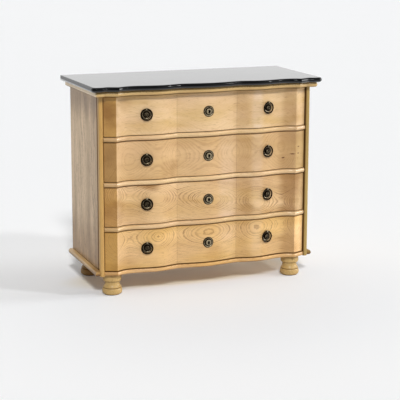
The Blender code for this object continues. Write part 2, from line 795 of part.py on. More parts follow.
def main():
    """Build the chest."""
    for thing in list(bpy.data.objects):
        bpy.data.objects.remove(thing)
    new_collection(PARTS)
    new_collection(CUTTERS)
    oak = new_material("oak", (0.62, 0.42, 0.20), 0.45)
    inner_oak = new_material("inner_oak", (0.66, 0.50, 0.30), 0.60)
    black = new_material("black_top", (0.012, 0.012, 0.013), 0.20)
    metal = new_material("dark_brass", (0.09, 0.07, 0.045), 0.38, 0.9)
    make_top(
        "top_slab", eared_outline(SLAB_FRONT_OVERHANG, SLAB_SIDE_OVERHANG, SLAB_BACK),
        SLAB_THICKNESS, SLAB_NOSE, SLAB_Z, SLAB_BACK, black,
    )
    make_top(
        "under_top_board",
        eared_outline(UNDER_TOP_FRONT_OVERHANG, UNDER_TOP_SIDE_OVERHANG, CASE_DEPTH),
        UNDER_TOP_THICKNESS, UNDER_TOP_NOSE, UNDER_TOP_Z, CASE_DEPTH, oak,
    )
    make_sides(oak)
    make_back(inner_oak)
    make_boards(oak)
    make_feet(oak)
    make_drawers(oak, inner_oak, metal)


main()
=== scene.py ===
"""Looks of a four-drawer serpentine chest: turned feet, waved oak drawers, black top, dark ring pulls."""

import cmath
import logging
import math
from dataclasses import dataclass
from enum import Enum
from typing import Callable, Sequence

import bmesh
import bpy
from mathutils import Matrix, Vector


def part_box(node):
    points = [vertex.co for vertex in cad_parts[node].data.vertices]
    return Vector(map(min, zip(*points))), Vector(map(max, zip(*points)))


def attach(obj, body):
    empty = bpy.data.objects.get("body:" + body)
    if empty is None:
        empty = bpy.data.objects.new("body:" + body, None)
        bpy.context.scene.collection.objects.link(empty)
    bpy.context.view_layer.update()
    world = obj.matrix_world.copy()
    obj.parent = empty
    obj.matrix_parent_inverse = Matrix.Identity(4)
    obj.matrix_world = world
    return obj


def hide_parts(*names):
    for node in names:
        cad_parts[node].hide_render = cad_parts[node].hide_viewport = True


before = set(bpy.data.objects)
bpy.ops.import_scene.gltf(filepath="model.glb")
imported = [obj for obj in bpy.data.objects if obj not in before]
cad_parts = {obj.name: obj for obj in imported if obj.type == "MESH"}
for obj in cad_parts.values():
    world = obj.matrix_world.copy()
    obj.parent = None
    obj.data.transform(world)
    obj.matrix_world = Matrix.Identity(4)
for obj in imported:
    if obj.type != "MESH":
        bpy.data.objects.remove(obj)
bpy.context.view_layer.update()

log = logging.getLogger("chest")

MM = 0.001
DRAWERS = (1, 2, 3, 4)
SIDES = {"left": -1, "right": 1}
Point = tuple[float, float]
Colour = tuple[float, float, float]

# A tint that changes nothing.
PLAIN: Colour = (1.0, 1.0, 1.0)
# How near to a plane a point counts as on it, how near to a crease as along it, and how level an edge is.
ON_PLANE, ON_CREASE, LEVEL = 0.05 * MM, 0.2 * MM, 0.01 * MM
# How much of a face's normal lies along an axis that the face looks along.
FACING = 0.9
# The turns in radians past which an edge counts as a crease, as a ridge and as square.
CREASE_TURN, RIDGE_TURN, SQUARE_TURN = 0.05, 0.5, 1.0
# The degrees below which the edges of each kind of piece are shaded smooth.
TOOL_SMOOTH, FRONT_SMOOTH, BOARD_SMOOTH = 30.0, 32.0, 34.0
TURNED_SMOOTH, MOULDED_SMOOTH, WIRE_SMOOTH = 38.0, 40.0, 60.0
# How many sides a turned plate and a drilled hole have, and how many rings each curve of a plate gets.
PLATE_SIDES, HOLE_SIDES, PLATE_STEPS = 64, 32, 5


class Kind(Enum):
    """What an edit mode selection is made of."""

    VERTICES = ("VERT", "verts")
    EDGES = ("EDGE", "edges")
    FACES = ("FACE", "faces")


class Slot(Enum):
    """The record's material slots, passed along with each new piece."""

    OAK = "oak"
    BLACK_TOP = "black_top"
    DARK_BRASS = "dark_brass"


class Grain(Enum):
    """The world axis that a board's grain runs along, as the turn that brings it to X."""

    ALONG_X = (0.0, 0.0, 0.0)
    ALONG_Y = (0.0, 0.0, -math.pi / 2)
    ALONG_Z = (0.0, math.pi / 2, 0.0)


def clear_bench() -> None:
    """Leave edit mode and deselect everything, the frame's nodes included."""
    if bpy.context.mode != "OBJECT":
        bpy.ops.object.mode_set(mode="OBJECT")
    bpy.ops.object.select_all(action="DESELECT")


def rise(edge: bmesh.types.BMEdge) -> float:
    """Return how far apart an edge's ends are in height."""
    return abs(edge.verts[0].co.z - edge.verts[1].co.z)


def run(edge: bmesh.types.BMEdge) -> float:
    """Return how far apart an edge's ends are from left to right."""
    return abs(edge.verts[0].co.x - edge.verts[1].co.x)


def at_depth(edge: bmesh.types.BMEdge, depth: float) -> bool:
    """Say whether an edge lies all at one depth, from front to back."""
    return all(abs(v.co.y - depth) < ON_PLANE for v in edge.verts)


class Workpiece:
    """A mesh on the bench, shaped in edit mode as by hand."""

    def __init__(self, name: str) -> None:
        """Take the primitive that was just added.

        Args:
            name: The piece's name.
        """
        self.thing: bpy.types.Object = bpy.context.object
        self.thing.name = name
        self.thing.data.name = name
        bpy.ops.object.transform_apply(location=True, rotation=True, scale=True)
        bpy.ops.object.mode_set(mode="EDIT")

    @classmethod
    def block(cls, name: str, low: Sequence[float], high: Sequence[float]) -> "Workpiece":
        """Start from a cube between two corners.

        Args:
            name: The piece's name.
            low: The lowest corner.
            high: The highest corner.

        Returns:
            The block, open in edit mode.
        """
        clear_bench()
        size = Vector(high) - Vector(low)
        bpy.ops.mesh.primitive_cube_add(size=1, location=(Vector(low) + Vector(high)) / 2)
        bpy.context.object.scale = size
        return cls(name)

    @classmethod
    def cylinder(cls, name: str, radius: float, length: float, sides: int, matrix: Matrix) -> "Workpiece":
        """Start from a cylinder along the matrix's Z.

        Args:
            name: The piece's name.
            radius: The cylinder's radius.
            length: Its length.
            sides: How many sides it has.
            matrix: Where its middle is and how it is turned.

        Returns:
            The cylinder, open in edit mode.
        """
        clear_bench()
        bpy.ops.mesh.primitive_cylinder_add(vertices=sides, radius=radius, depth=length)
        bpy.context.object.matrix_world = matrix
        return cls(name)

    def pick(self, kind: Kind, test: Callable) -> None:
        """Select what passes a test, and nothing else.

        Args:
            kind: Vertices, edges or faces.
            test: Says of one bmesh element whether it is wanted.
        """
        bpy.ops.mesh.select_mode(type=kind.value[0])
        bpy.ops.mesh.select_all(action="DESELECT")
        form = bmesh.from_edit_mesh(self.thing.data)
        for part in [part for part in getattr(form, kind.value[1]) if test(part)]:
            part.select_set(True)
        form.select_flush_mode()
        bmesh.update_edit_mesh(self.thing.data)

    def pick_all(self) -> None:
        """Select the whole mesh."""
        bpy.ops.mesh.select_all(action="SELECT")

    def pick_numbers(self, numbers: Sequence[int]) -> None:
        """Select vertices by number, which they keep when they move.

        Args:
            numbers: The vertices' numbers.
        """
        form = bmesh.from_edit_mesh(self.thing.data)
        form.verts.ensure_lookup_table()
        bpy.ops.mesh.select_all(action="DESELECT")
        for number in numbers:
            form.verts[number].select_set(True)
        bmesh.update_edit_mesh(self.thing.data)

    def columns(self) -> list[list[int]]:
        """Find a grid's columns.

        Returns:
            The numbers of its vertices, one list for each x, from the left, front first.
        """
        bpy.ops.mesh.select_mode(type="VERT")
        form = bmesh.from_edit_mesh(self.thing.data)
        rows: dict[float, list] = {}
        for vertex in form.verts:
            rows.setdefault(round(vertex.co.x, 6), []).append(vertex)
        return [
            [vertex.index for vertex in sorted(rows[x], key=lambda vertex: vertex.co.y)]
            for x in sorted(rows)
        ]

    def move(self, by: Sequence[float]) -> None:
        """Move the selection."""
        bpy.ops.transform.translate(value=tuple(by))

    def resize(self, by: Sequence[float], centre: Sequence[float]) -> None:
        """Scale the selection about a centre."""
        bpy.ops.transform.resize(value=tuple(by), center_override=tuple(centre))

    def extrude(self, by: Sequence[float]) -> None:
        """Extrude the selected region."""
        bpy.ops.mesh.extrude_region_move(TRANSFORM_OT_translate={"value": tuple(by)})

    def bevel(self, width: float, steps: int) -> None:
        """Round the selected edges.

        Args:
            width: How far from each edge the rounding starts.
            steps: How many steps it has.
        """
        bpy.ops.mesh.bevel(
            offset=width, segments=steps, profile=0.5, affect="EDGES", offset_type="OFFSET", clamp_overlap=False
        )

    def bisect(self, place: Sequence[float], normal: Sequence[float]) -> None:
        """Score the whole mesh along a plane, without taking anything away."""
        self.pick_all()
        bpy.ops.mesh.bisect(plane_co=tuple(place), plane_no=tuple(normal))

    def merge_level_faces(self) -> None:
        """Turn the strips of the top and of the bottom into one face each."""
        for up in (1, -1):
            self.pick(Kind.FACES, lambda face: face.normal.z * up > FACING)
            bpy.ops.mesh.dissolve_faces()

    def mark_sharp(self) -> None:
        """Keep the selected edges crisp when the piece is shaded smooth."""
        bpy.ops.mesh.mark_sharp()

    def face_outwards(self) -> None:
        """Turn every face outwards."""
        self.pick_all()
        bpy.ops.mesh.normals_make_consistent(inside=False)

    def finish(self, smooth_degrees: float = TOOL_SMOOTH) -> bpy.types.Object:
        """Close the seams, turn the faces outwards and shade the piece.

        Args:
            smooth_degrees: Edges that turn by less than this are shaded smooth.

        Returns:
            The finished object, out of edit mode.
        """
        self.pick_all()
        bpy.ops.mesh.remove_doubles(threshold=0.002 * MM)
        self.face_outwards()
        bpy.ops.object.mode_set(mode="OBJECT")
        shade(self.thing, smooth_degrees)
        return self.thing


def shade(piece: bpy.types.Object, smooth_degrees: float) -> None:
    """Shade a piece smooth below an angle, its wide flat faces staying flat up to their rounded edges.

    Args:
        piece: The finished piece.
        smooth_degrees: Edges that turn by less than this are shaded smooth.
    """
    clear_bench()
    bpy.context.view_layer.objects.active = piece
    piece.select_set(True)
    bpy.ops.object.shade_smooth_by_angle(angle=math.radians(smooth_degrees))
    step = piece.modifiers.new("Weights", "WEIGHTED_NORMAL")
    step.keep_sharp = True
    bpy.ops.object.modifier_apply(modifier=step.name)


def combine(
    body: bpy.types.Object, tool: bpy.types.Object, operation: str, smooth_degrees: float = TURNED_SMOOTH
) -> None:
    """Cut a piece by another or join the two, and remove the tool.

    Args:
        body: The piece that stays.
        tool: The piece that is used up.
        operation: DIFFERENCE or UNION.
        smooth_degrees: The angle for shading the result.
    """
    clear_bench()
    bpy.context.view_layer.objects.active = body
    body.select_set(True)
    step = body.modifiers.new("Combine", "BOOLEAN")
    step.operation = operation
    step.solver = "EXACT"
    step.object = tool
    bpy.ops.object.modifier_apply(modifier=step.name)
    bpy.data.objects.remove(tool)
    shade(body, smooth_degrees)


def copy_of(source: bpy.types.Object, name: str, matrix: Matrix) -> bpy.types.Object:
    """Copy a finished piece, with a mesh of its own that holds its new place.

    Args:
        source: The finished piece.
        name: The copy's name.
        matrix: How the copy's mesh is moved, turned or mirrored.

    Returns:
        The copy.
    """
    copy = source.copy()
    copy.data = source.data.copy()
    copy.name = copy.data.name = name
    copy.data.transform(matrix)
    if matrix.determinant() < 0:
        copy.data.flip_normals()
    bpy.context.scene.collection.objects.link(copy)
    return copy


def install(piece: bpy.types.Object, body: str, slot: Slot, *nodes: str) -> None:
    """Let a piece ride on its body and stand for its nodes.

    Args:
        piece: The finished piece.
        body: The body that carries it.
        slot: The record's slot for its finish; not used.
        nodes: The frame's nodes that it replaces.
    """
    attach(piece, body)
    if nodes:
        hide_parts(*nodes)
    log.info("%s rides on %s, %d faces", piece.name, body, len(piece.data.polygons))


@dataclass(frozen=True)
class Turn:
    """One point of a turned profile, and how far the stretch after it swells out (+) or in (-)."""

    radius: float
    height: float
    swell: float = 0.0


def arc_between(start: complex, end: complex, swell: float, steps: int) -> list[complex]:
    """Return the points after the start of an arc, or of a straight stretch, up to its end.

    Args:
        start: The first point, as radius + height j.
        end: The last point.
        swell: The arc's rise over half its chord, outwards if above zero.
        steps: How many points a curved stretch gets.

    Returns:
        The points, the last one being the end.
    """
    if not swell:
        return [end]
    bulge = -swell
    centre = (start + end) / 2 + 1j * (end - start) / 2 * (1 - bulge**2) / (2 * bulge)
    angle = 4 * math.atan(bulge)
    return [centre + (start - centre) * cmath.exp(1j * angle * step / steps) for step in range(1, steps + 1)]


def sized(shares: Sequence[Turn], radius: float, height: float) -> list[Turn]:
    """Bring a profile that is given in shares of a piece's radius and height to its size."""
    return [Turn(share.radius * radius, share.height * height, share.swell) for share in shares]


def turned(name: str, profile: Sequence[Turn], sides: int, steps: int = 6) -> Workpiece:
    """Turn a closed piece about Z: a disc is pulled down its profile, ring by ring.

    Args:
        name: The piece's name.
        profile: The points from the top down.
        sides: How many sides each ring has.
        steps: How many rings a curved stretch gets.

    Returns:
        The turned piece, open in edit mode, facing up.
    """
    line = [complex(profile[0].radius, profile[0].height)]
    for here, there in zip(profile, profile[1:]):
        line += arc_between(line[-1], complex(there.radius, there.height), here.swell, steps)
    clear_bench()
    bpy.ops.mesh.primitive_circle_add(
        vertices=sides, radius=line[0].real, fill_type="NGON", location=(0, 0, line[0].imag)
    )
    piece = Workpiece(name)
    piece.pick_all()
    for here, there in zip(line, line[1:]):
        piece.extrude((0, 0, there.imag - here.imag))
        ratio = there.real / here.real
        piece.resize((ratio, ratio, 1), (0, 0, there.imag))
    return piece


@dataclass(frozen=True)
class Wave:
    """The serpentine line that the drawers, the boards between them and the top share.

    The shares are parts of the half width between the pilasters. The steps are those of each stretch between two
    shares, from the middle out, and of the last one to the line's end.
    """

    inner_half: float
    front_plane: float
    wave_rise: float = 9.0 * MM
    ridge_rise: float = 11.3 * MM
    cant_back: float = 12.0 * MM
    valley_share: float = 0.296
    peak_share: float = 0.493
    dip_share: float = 0.760
    ridge_share: float = 0.887
    scoop_share: float = 0.982
    nudge_share: float = 0.001
    steps: tuple[int, ...] = (14, 10, 14, 8, 3)

    @staticmethod
    def climb(along: float) -> float:
        """Rise from 0 to 1, half as a parabola and half as a cosine."""
        return (along**2 + (1 - math.cos(math.pi * along)) / 2) / 2

    def depth(self, x: float) -> float:
        """Find how deep the wave lies.

        Args:
            x: A place across the chest, from its middle.

        Returns:
            How far the face there lies behind the pilasters' front plane.
        """
        across = abs(x) / self.inner_half
        if across <= self.valley_share:
            return 2 * self.wave_rise * self.climb(across / self.valley_share) - self.wave_rise
        if across <= self.peak_share:
            along = (self.peak_share - across) / (self.peak_share - self.valley_share)
            return 2 * self.wave_rise * self.climb(along) - self.wave_rise
        if across <= self.dip_share:
            along = (across - self.peak_share) / (self.dip_share - self.peak_share)
            return -self.wave_rise * math.cos(math.pi * along)
        if across <= self.ridge_share:
            along = (across - self.dip_share) / (self.ridge_share - self.dip_share)
            return self.wave_rise - (self.wave_rise + self.ridge_rise) * along**2
        along = (across - self.ridge_share) / (1 - self.ridge_share)
        return (self.ridge_rise + self.cant_back) * along - self.ridge_rise

    def turn_at(self, x: float) -> float:
        """Return the angle by which the face turns about the vertical at x."""
        step = self.inner_half * self.nudge_share
        return math.atan2(self.depth(x + step) - self.depth(x - step), 2 * step)

    def places(self, last_share: float) -> list[float]:
        """Share out the line's points, closer together where it bends.

        Args:
            last_share: Where the line ends, as a share of the inner half width.

        Returns:
            The x of each point on the right half.
        """
        shares = (0.0, self.valley_share, self.peak_share, self.dip_share, self.ridge_share, last_share)
        found = [0.0]
        for start, end, steps in zip(shares, shares[1:], self.steps):
            found += [(start + (end - start) * step / steps) * self.inner_half for step in range(1, steps + 1)]
        return found

    def front(self, last_share: float, proud: float) -> list[Point]:
        """Return the right half of the line, moved forward by an overhang.

        Args:
            last_share: Where the line ends, as a share of the inner half width.
            proud: How far it stands in front of the drawers' face.

        Returns:
            The points in the world's x and y, from the middle out.
        """
        return [(x, self.depth(x) - proud + self.front_plane) for x in self.places(last_share)]

    def at_crease(self, x: float) -> bool:
        """Say whether x is where two stretches of the line meet at an angle."""
        shares = (self.valley_share, self.ridge_share)
        return any(abs(abs(x) - share * self.inner_half) < ON_CREASE for share in shares)

    def on_ridge(self, edge: bmesh.types.BMEdge) -> bool:
        """Tell the upright edge on the ridge beside a pilaster.

        Args:
            edge: An edge of a board that follows the wave.

        Returns:
            Whether it does.
        """
        ridge = self.ridge_share * self.inner_half
        along = all(abs(abs(v.co.x) - ridge) < ON_CREASE for v in edge.verts)
        return along and rise(edge) > MM and edge.calc_face_angle(0) > RIDGE_TURN


def both_halves(right: Sequence[Point]) -> list[Point]:
    """Return a front line from left to right, from its right half."""
    return [(-x, y) for x, y in reversed(right) if x > MM] + list(right)


@dataclass(frozen=True)
class WavyBoard:
    """A board or a drawer front whose front edge follows a line and whose back is straight."""

    name: str
    front: Sequence[Point]
    back: float
    low: float
    high: float
    wave: Wave

    def rough(self) -> Workpiece:
        """Saw the board out: a grid whose columns are moved to the line, then given its thickness.

        Returns:
            The board with square edges, open in edit mode.
        """
        clear_bench()
        count = len(self.front) - 1
        bpy.ops.mesh.primitive_grid_add(
            x_subdivisions=count, y_subdivisions=1, size=1, location=(0, 0, self.low)
        )
        piece = Workpiece(self.name)
        half = 0.5
        for place, ((x, y), numbers) in enumerate(zip(self.front, piece.columns())):
            across = x + half - place / count
            piece.pick_numbers(numbers[:1])
            piece.move((across, y + half, 0))
            piece.pick_numbers(numbers[-1:])
            piece.move((across, self.back - half, 0))
        piece.pick_all()
        piece.extrude((0, 0, self.high - self.low))
        piece.face_outwards()
        piece.merge_level_faces()
        return piece

    def is_rim(self, edge: bmesh.types.BMEdge) -> bool:
        """Tell the edges that are rounded.

        Args:
            edge: An edge of the board.

        Returns:
            Whether it runs round the top or the bottom, but not along the back.
        """
        if len(edge.link_faces) != 2 or at_depth(edge, self.back):
            return False
        return rise(edge) < LEVEL and edge.calc_face_angle(0) > SQUARE_TURN

    def crisp_creases(self, piece: Workpiece, reach: float) -> None:
        """Keep the upright lines where the wave breaks crisp.

        Args:
            piece: The board, open in edit mode.
            reach: How far behind the front plane a crease may lie.
        """
        limit = self.wave.front_plane + reach
        piece.pick(
            Kind.EDGES,
            lambda edge: all(self.wave.at_crease(v.co.x) and v.co.y < limit for v in edge.verts)
            and edge.calc_face_angle(0) > CREASE_TURN,
        )
        piece.mark_sharp()


def eared_line(
    wave: Wave, case_half: float, front_overhang: float, side_overhang: float, steps: int = 10, round_share: float = 0.6
) -> list[Point]:
    """Return the top's front line: the wave, a scoop, an ear round each pilaster and a round corner.

    Args:
        wave: The wave of the drawers' faces.
        case_half: Half the case's width.
        front_overhang: How far the line stands in front of the faces.
        side_overhang: How far it stands out from the case's sides.
        steps: How many steps the scoop and the corner each get.
        round_share: The corner's radius, as a share of the side overhang.

    Returns:
        The points from left to right.
    """
    right = wave.front(wave.scoop_share, front_overhang)
    scoop_x, scoop_y = right[-1]
    ear_y = wave.front_plane - front_overhang
    for step in range(1, steps + 1):
        along = step / steps
        climb = (1 - math.cos(math.pi * along)) / 2
        right.append((scoop_x + (case_half - scoop_x) * along, scoop_y + (ear_y - scoop_y) * climb))
    corner = round_share * side_overhang
    half = case_half + side_overhang
    for step in range(steps):
        turn = math.pi / 2 * (step + 1) / steps
        x = half - corner + corner * math.sin(turn)
        right.append((x, ear_y + corner - corner * math.cos(turn)))
    return both_halves(right)


class Tree:
    """A node tree written line by line."""

    def __init__(self, tree: bpy.types.NodeTree) -> None:
        """Start on a tree, which is cleared first."""
        self.tree = tree
        tree.nodes.clear()

    def node(self, kind: str, **settings: object) -> bpy.types.Node:
        """Add a node.

        Args:
            kind: The node's type.
            settings: Its properties.

        Returns:
            The node.
        """
        node = self.tree.nodes.new(kind)
        for name, value in settings.items():
            setattr(node, name, value)
        return node

    def feed(self, socket: bpy.types.NodeSocket, value: object) -> None:
        """Link an output to a socket, or set the socket to a constant.

        Args:
            socket: The input to feed.
            value: An output, a number, a vector, or a colour without its alpha.
        """
        if isinstance(value, bpy.types.NodeSocket):
            self.tree.links.new(value, socket)
        elif isinstance(value, tuple) and len(value) == 3 and socket.type == "RGBA":
            socket.default_value = (*value, 1.0)
        else:
            socket.default_value = value

    def feed_all(self, node: bpy.types.Node, values: dict[object, object]) -> None:
        """Feed a node's inputs, by name or by number."""
        for key, value in values.items():
            self.feed(node.inputs[key], value)

    def math(self, operation: str, *values: object) -> bpy.types.NodeSocket:
        """Add a sum on numbers.

        Args:
            operation: The sum.
            values: One to three numbers or outputs.

        Returns:
            Its result.
        """
        node = self.node("ShaderNodeMath", operation=operation)
        self.feed_all(node, dict(enumerate(values)))
        return node.outputs[0]

    def vector(self, operation: str, *values: object) -> bpy.types.NodeSocket:
        """Add a sum on vectors.

        Args:
            operation: The sum.
            values: One to three vectors or outputs.

        Returns:
            The vector that it gives.
        """
        node = self.node("ShaderNodeVectorMath", operation=operation)
        self.feed_all(node, dict(enumerate(values)))
        return node.outputs["Vector"]

    def scaled(self, vector: object, factor: object) -> bpy.types.NodeSocket:
        """Multiply a vector by a number.

        Args:
            vector: The vector.
            factor: The number.

        Returns:
            The longer or shorter vector.
        """
        node = self.node("ShaderNodeVectorMath", operation="SCALE")
        self.feed_all(node, {"Vector": vector, "Scale": factor})
        return node.outputs["Vector"]

    def length(self, vector: object) -> bpy.types.NodeSocket:
        """Measure a vector.

        Args:
            vector: The vector.

        Returns:
            Its length.
        """
        node = self.node("ShaderNodeVectorMath", operation="LENGTH")
        self.feed_all(node, {0: vector})
        return node.outputs["Value"]

    def axes(self, vector: object) -> bpy.types.bpy_prop_collection:
        """Take a vector apart.

        Args:
            vector: The vector.

        Returns:
            Its three numbers, by the names X, Y and Z.
        """
        node = self.node("ShaderNodeSeparateXYZ")
        self.feed_all(node, {0: vector})
        return node.outputs

    def noise(self, vector: object, scale: float, detail: float = 2.0, rough: float = 0.5) -> bpy.types.Node:
        """Add a noise.

        Args:
            vector: The place that it is read at.
            scale: How fast it changes.
            detail: How many finer layers it has.
            rough: How strong these are.

        Returns:
            The node.
        """
        node = self.node("ShaderNodeTexNoise")
        self.feed_all(node, {"Vector": vector, "Scale": scale, "Detail": detail, "Roughness": rough})
        return node

    def streaks(
        self, vector: object, along: float, across: float, detail: float = 2.0, rough: float = 0.5, scale: float = 1.0
    ) -> bpy.types.Node:
        """Return a noise node that is drawn out along X.

        Args:
            vector: The place that it is read at.
            along: How fast it changes along X.
            across: How fast it changes along Y and Z.
            detail: How many finer layers it has.
            rough: How strong these are.
            scale: A factor on both speeds.

        Returns:
            The node.
        """
        return self.noise(self.vector("MULTIPLY", vector, (along, across, across)), scale, detail, rough)

    def remap(
        self, value: object, low: object, high: object, to_low: object = 0.0, to_high: object = 1.0,
        smooth: bool = False,
    ) -> bpy.types.NodeSocket:
        """Bring a value from one range to another, clamped.

        Args:
            value: The value.
            low: The start of its range.
            high: The end of its range.
            to_low: What the start becomes.
            to_high: What the end becomes.
            smooth: Whether it eases in and out.

        Returns:
            The result.
        """
        node = self.node("ShaderNodeMapRange", interpolation_type="SMOOTHSTEP" if smooth else "LINEAR")
        self.feed_all(
            node, {"Value": value, "From Min": low, "From Max": high, "To Min": to_low, "To Max": to_high}
        )
        return node.outputs["Result"]

    def place(self, group: bpy.types.NodeTree, values: dict[str, object]) -> dict[str, bpy.types.NodeSocket]:
        """Place a group in the tree.

        Args:
            group: The group.
            values: What its inputs get, by their names.

        Returns:
            Its outputs, by their names.
        """
        node = self.node("ShaderNodeGroup", node_tree=group)
        self.feed_all(node, values)
        return {output.name: output for output in node.outputs}

    def blend(self, factor: object, first: object, second: object, kind: str = "MIX") -> bpy.types.NodeSocket:
        """Mix two colours.

        Args:
            factor: How much of the second there is.
            first: The first colour, the node's input 6.
            second: The second colour, the node's input 7.
            kind: How the second is laid over the first.

        Returns:
            The mixed colour, the node's output 2.
        """
        node = self.node("ShaderNodeMix", data_type="RGBA", blend_type=kind)
        self.feed_all(node, {"Factor": factor, 6: first, 7: second})
        return node.outputs[2]

    def stain_and_painted_light(self, mask: object, colour: object, tint: object) -> bpy.types.NodeSocket:
        """Return a colour that is multiplied by a tint where a mask says so."""
        return self.blend(mask, colour, self.blend(1.0, colour, tint, "MULTIPLY"))

    def bump(self, height: object, strength: float, distance: float) -> bpy.types.NodeSocket:
        """Add a fine relief.

        Args:
            height: The relief.
            strength: How much it shows.
            distance: How deep it is.

        Returns:
            The normal that it gives.
        """
        node = self.node("ShaderNodeBump")
        self.feed_all(node, {"Height": height, "Strength": strength, "Distance": distance})
        return node.outputs["Normal"]

    def mix_shaders(self, factor: object, first: object, second: object) -> bpy.types.NodeSocket:
        """Mix two shaders.

        Args:
            factor: How much of the second there is.
            first: The first shader.
            second: The second shader.

        Returns:
            The mixed shader.
        """
        node = self.node("ShaderNodeMixShader")
        self.feed_all(node, {0: factor, 1: first, 2: second})
        return node.outputs[0]


def new_group(name: str, inputs: Sequence[tuple], outputs: Sequence[tuple]) -> tuple[Tree, dict, dict]:
    """Make a shader node group with named sockets.

    Args:
        name: The group's name.
        inputs: A name, a socket type and a default for each input.
        outputs: A name and a socket type for each output.

    Returns:
        The tree to write, its inputs as sockets to read, and its outputs as sockets to feed.
    """
    group = bpy.data.node_groups.new(name, "ShaderNodeTree")
    for label, kind, default in inputs:
        socket = group.interface.new_socket(name=label, in_out="INPUT", socket_type=kind)
        if default is not None:
            socket.default_value = default
    for label, kind in outputs:
        group.interface.new_socket(name=label, in_out="OUTPUT", socket_type=kind)
    tree = Tree(group)
    entry = tree.node("NodeGroupInput")
    leave = tree.node("NodeGroupOutput")
    return tree, {i[0]: entry.outputs[i[0]] for i in inputs}, {o[0]: leave.inputs[o[0]] for o in outputs}


def make_figure_group() -> bpy.types.NodeTree:
    """Make the figure of a sawn board: growth rings about a pith line, cut by whatever surface it has.

    Place runs along the grain in X, and the pith is the line Y = Z = 0.

    Returns:
        The group, with the wood's colour, and the dark late wood, the broad tone and the pores as masks.
    """
    tree, given, out = new_group(
        "board_figure",
        (
            ("Place", "NodeSocketVector", None),
            ("Ring", "NodeSocketFloat", 2.6 * MM),
            ("Wander", "NodeSocketFloat", 12.0 * MM),
            ("Pale Wood", "NodeSocketColor", None),
            ("Deep Wood", "NodeSocketColor", None),
            ("Late Wood", "NodeSocketColor", None),
            ("Rose Wood", "NodeSocketColor", None),
            ("Late Share", "NodeSocketFloat", 1.0),
            ("Pore Share", "NodeSocketFloat", 0.22),
            ("Fleck Share", "NodeSocketFloat", 0.25),
        ),
        (
            ("Color", "NodeSocketColor"), ("Late", "NodeSocketFloat"), ("Tone", "NodeSocketFloat"),
            ("Pores", "NodeSocketFloat"),
        ),
    )
    place = given["Place"]
    bent = place
    for along, across, rough, share in ((2.2, 7.0, 0.45, 1.0), (14.0, 42.0, 0.5, 0.20), (75.0, 150.0, 0.6, 0.13)):
        cloud = tree.streaks(place, along, across, rough=rough)
        drift = tree.vector("SUBTRACT", cloud.outputs["Color"], (0.5, 0.5, 0.5))
        bent = tree.vector("ADD", bent, tree.scaled(drift, tree.math("MULTIPLY", given["Wander"], share)))
    across = tree.vector("MULTIPLY", bent, (0.0, 1.0, 1.0))
    count = tree.math("DIVIDE", tree.length(across), given["Ring"])
    uneven = tree.node("ShaderNodeTexNoise", noise_dimensions="1D")
    tree.feed_all(uneven, {"W": count, "Scale": 0.35, "Detail": 1.0})
    count = tree.math("ADD", count, tree.math("MULTIPLY", uneven.outputs["Fac"], 2.2))
    part = tree.math("FRACT", count)
    rising = tree.remap(part, 0.46, 0.82, smooth=True)
    falling = tree.remap(part, 0.92, 1.0, 1.0, 0.0, smooth=True)
    year = tree.node("ShaderNodeTexWhiteNoise", noise_dimensions="1D")
    tree.feed_all(year, {"W": tree.math("FLOOR", count)})
    strength = tree.remap(year.outputs["Value"], 0.0, 1.0, 0.45, 1.0)
    patchy = tree.streaks(place, 2.5, 9.0, scale=1.7)
    visible = tree.remap(patchy.outputs["Fac"], 0.33, 0.55, 0.40, 1.0, smooth=True)
    broken = tree.streaks(place, 22.0, 60.0, rough=0.6)
    visible = tree.math("MULTIPLY", visible, tree.remap(broken.outputs["Fac"], 0.34, 0.54, 0.42, 1.0, smooth=True))
    late = tree.math("MULTIPLY", tree.math("MULTIPLY", rising, falling), strength)
    late = tree.math("MULTIPLY", late, visible)
    tone = tree.streaks(bent, 1.6, 11.0, detail=4.0, rough=0.55, scale=1.3)
    tone = tree.remap(tone.outputs["Fac"], 0.3, 0.7)
    pores = tree.remap(tree.streaks(bent, 45.0, 950.0, rough=0.6).outputs["Fac"], 0.56, 0.70)
    flecks = tree.remap(tree.streaks(bent, 26.0, 190.0, rough=0.6).outputs["Fac"], 0.60, 0.70)
    warmth = tree.noise(tree.vector("MULTIPLY", place, (3.0, 6.0, 8.0)), 1.0)
    warmth = tree.remap(warmth.outputs["Fac"], 0.35, 0.65)
    colour = tree.blend(tone, given["Deep Wood"], given["Pale Wood"])
    colour = tree.blend(tree.math("MULTIPLY", warmth, 0.5), colour, given["Rose Wood"])
    for mask, share in ((late, "Late Share"), (pores, "Pore Share"), (flecks, "Fleck Share")):
        colour = tree.blend(tree.math("MULTIPLY", mask, given[share]), colour, given["Late Wood"])
    for name, result in (("Color", colour), ("Late", late), ("Tone", tone), ("Pores", pores)):
        tree.feed(out[name], result)
    return tree.tree


def make_stain_and_light_group() -> bpy.types.NodeTree:
    """Make a tinted patch, ragged at its edge: the wood's own stain in some places, painted light and shade in others.

    Returns:
        The group, with the patch as a mask.
    """
    tree, given, out = new_group(
        "stain_and_painted_light_patch",
        (
            ("Place", "NodeSocketVector", None),
            ("Middle", "NodeSocketVector", None),
            ("Spread", "NodeSocketVector", None),
            ("Ragged", "NodeSocketFloat", 0.0),
            ("Share", "NodeSocketFloat", 1.0),
        ),
        (("Mask", "NodeSocketFloat"),),
    )
    offset = tree.vector("MULTIPLY", tree.vector("SUBTRACT", given["Place"], given["Middle"]), given["Spread"])
    ragged = tree.math("MULTIPLY_ADD", given["Ragged"], 0.5, tree.length(offset))
    tree.feed(out["Mask"], tree.remap(ragged, 0.5, 1.3, given["Share"], 0.0, smooth=True))
    return tree.tree


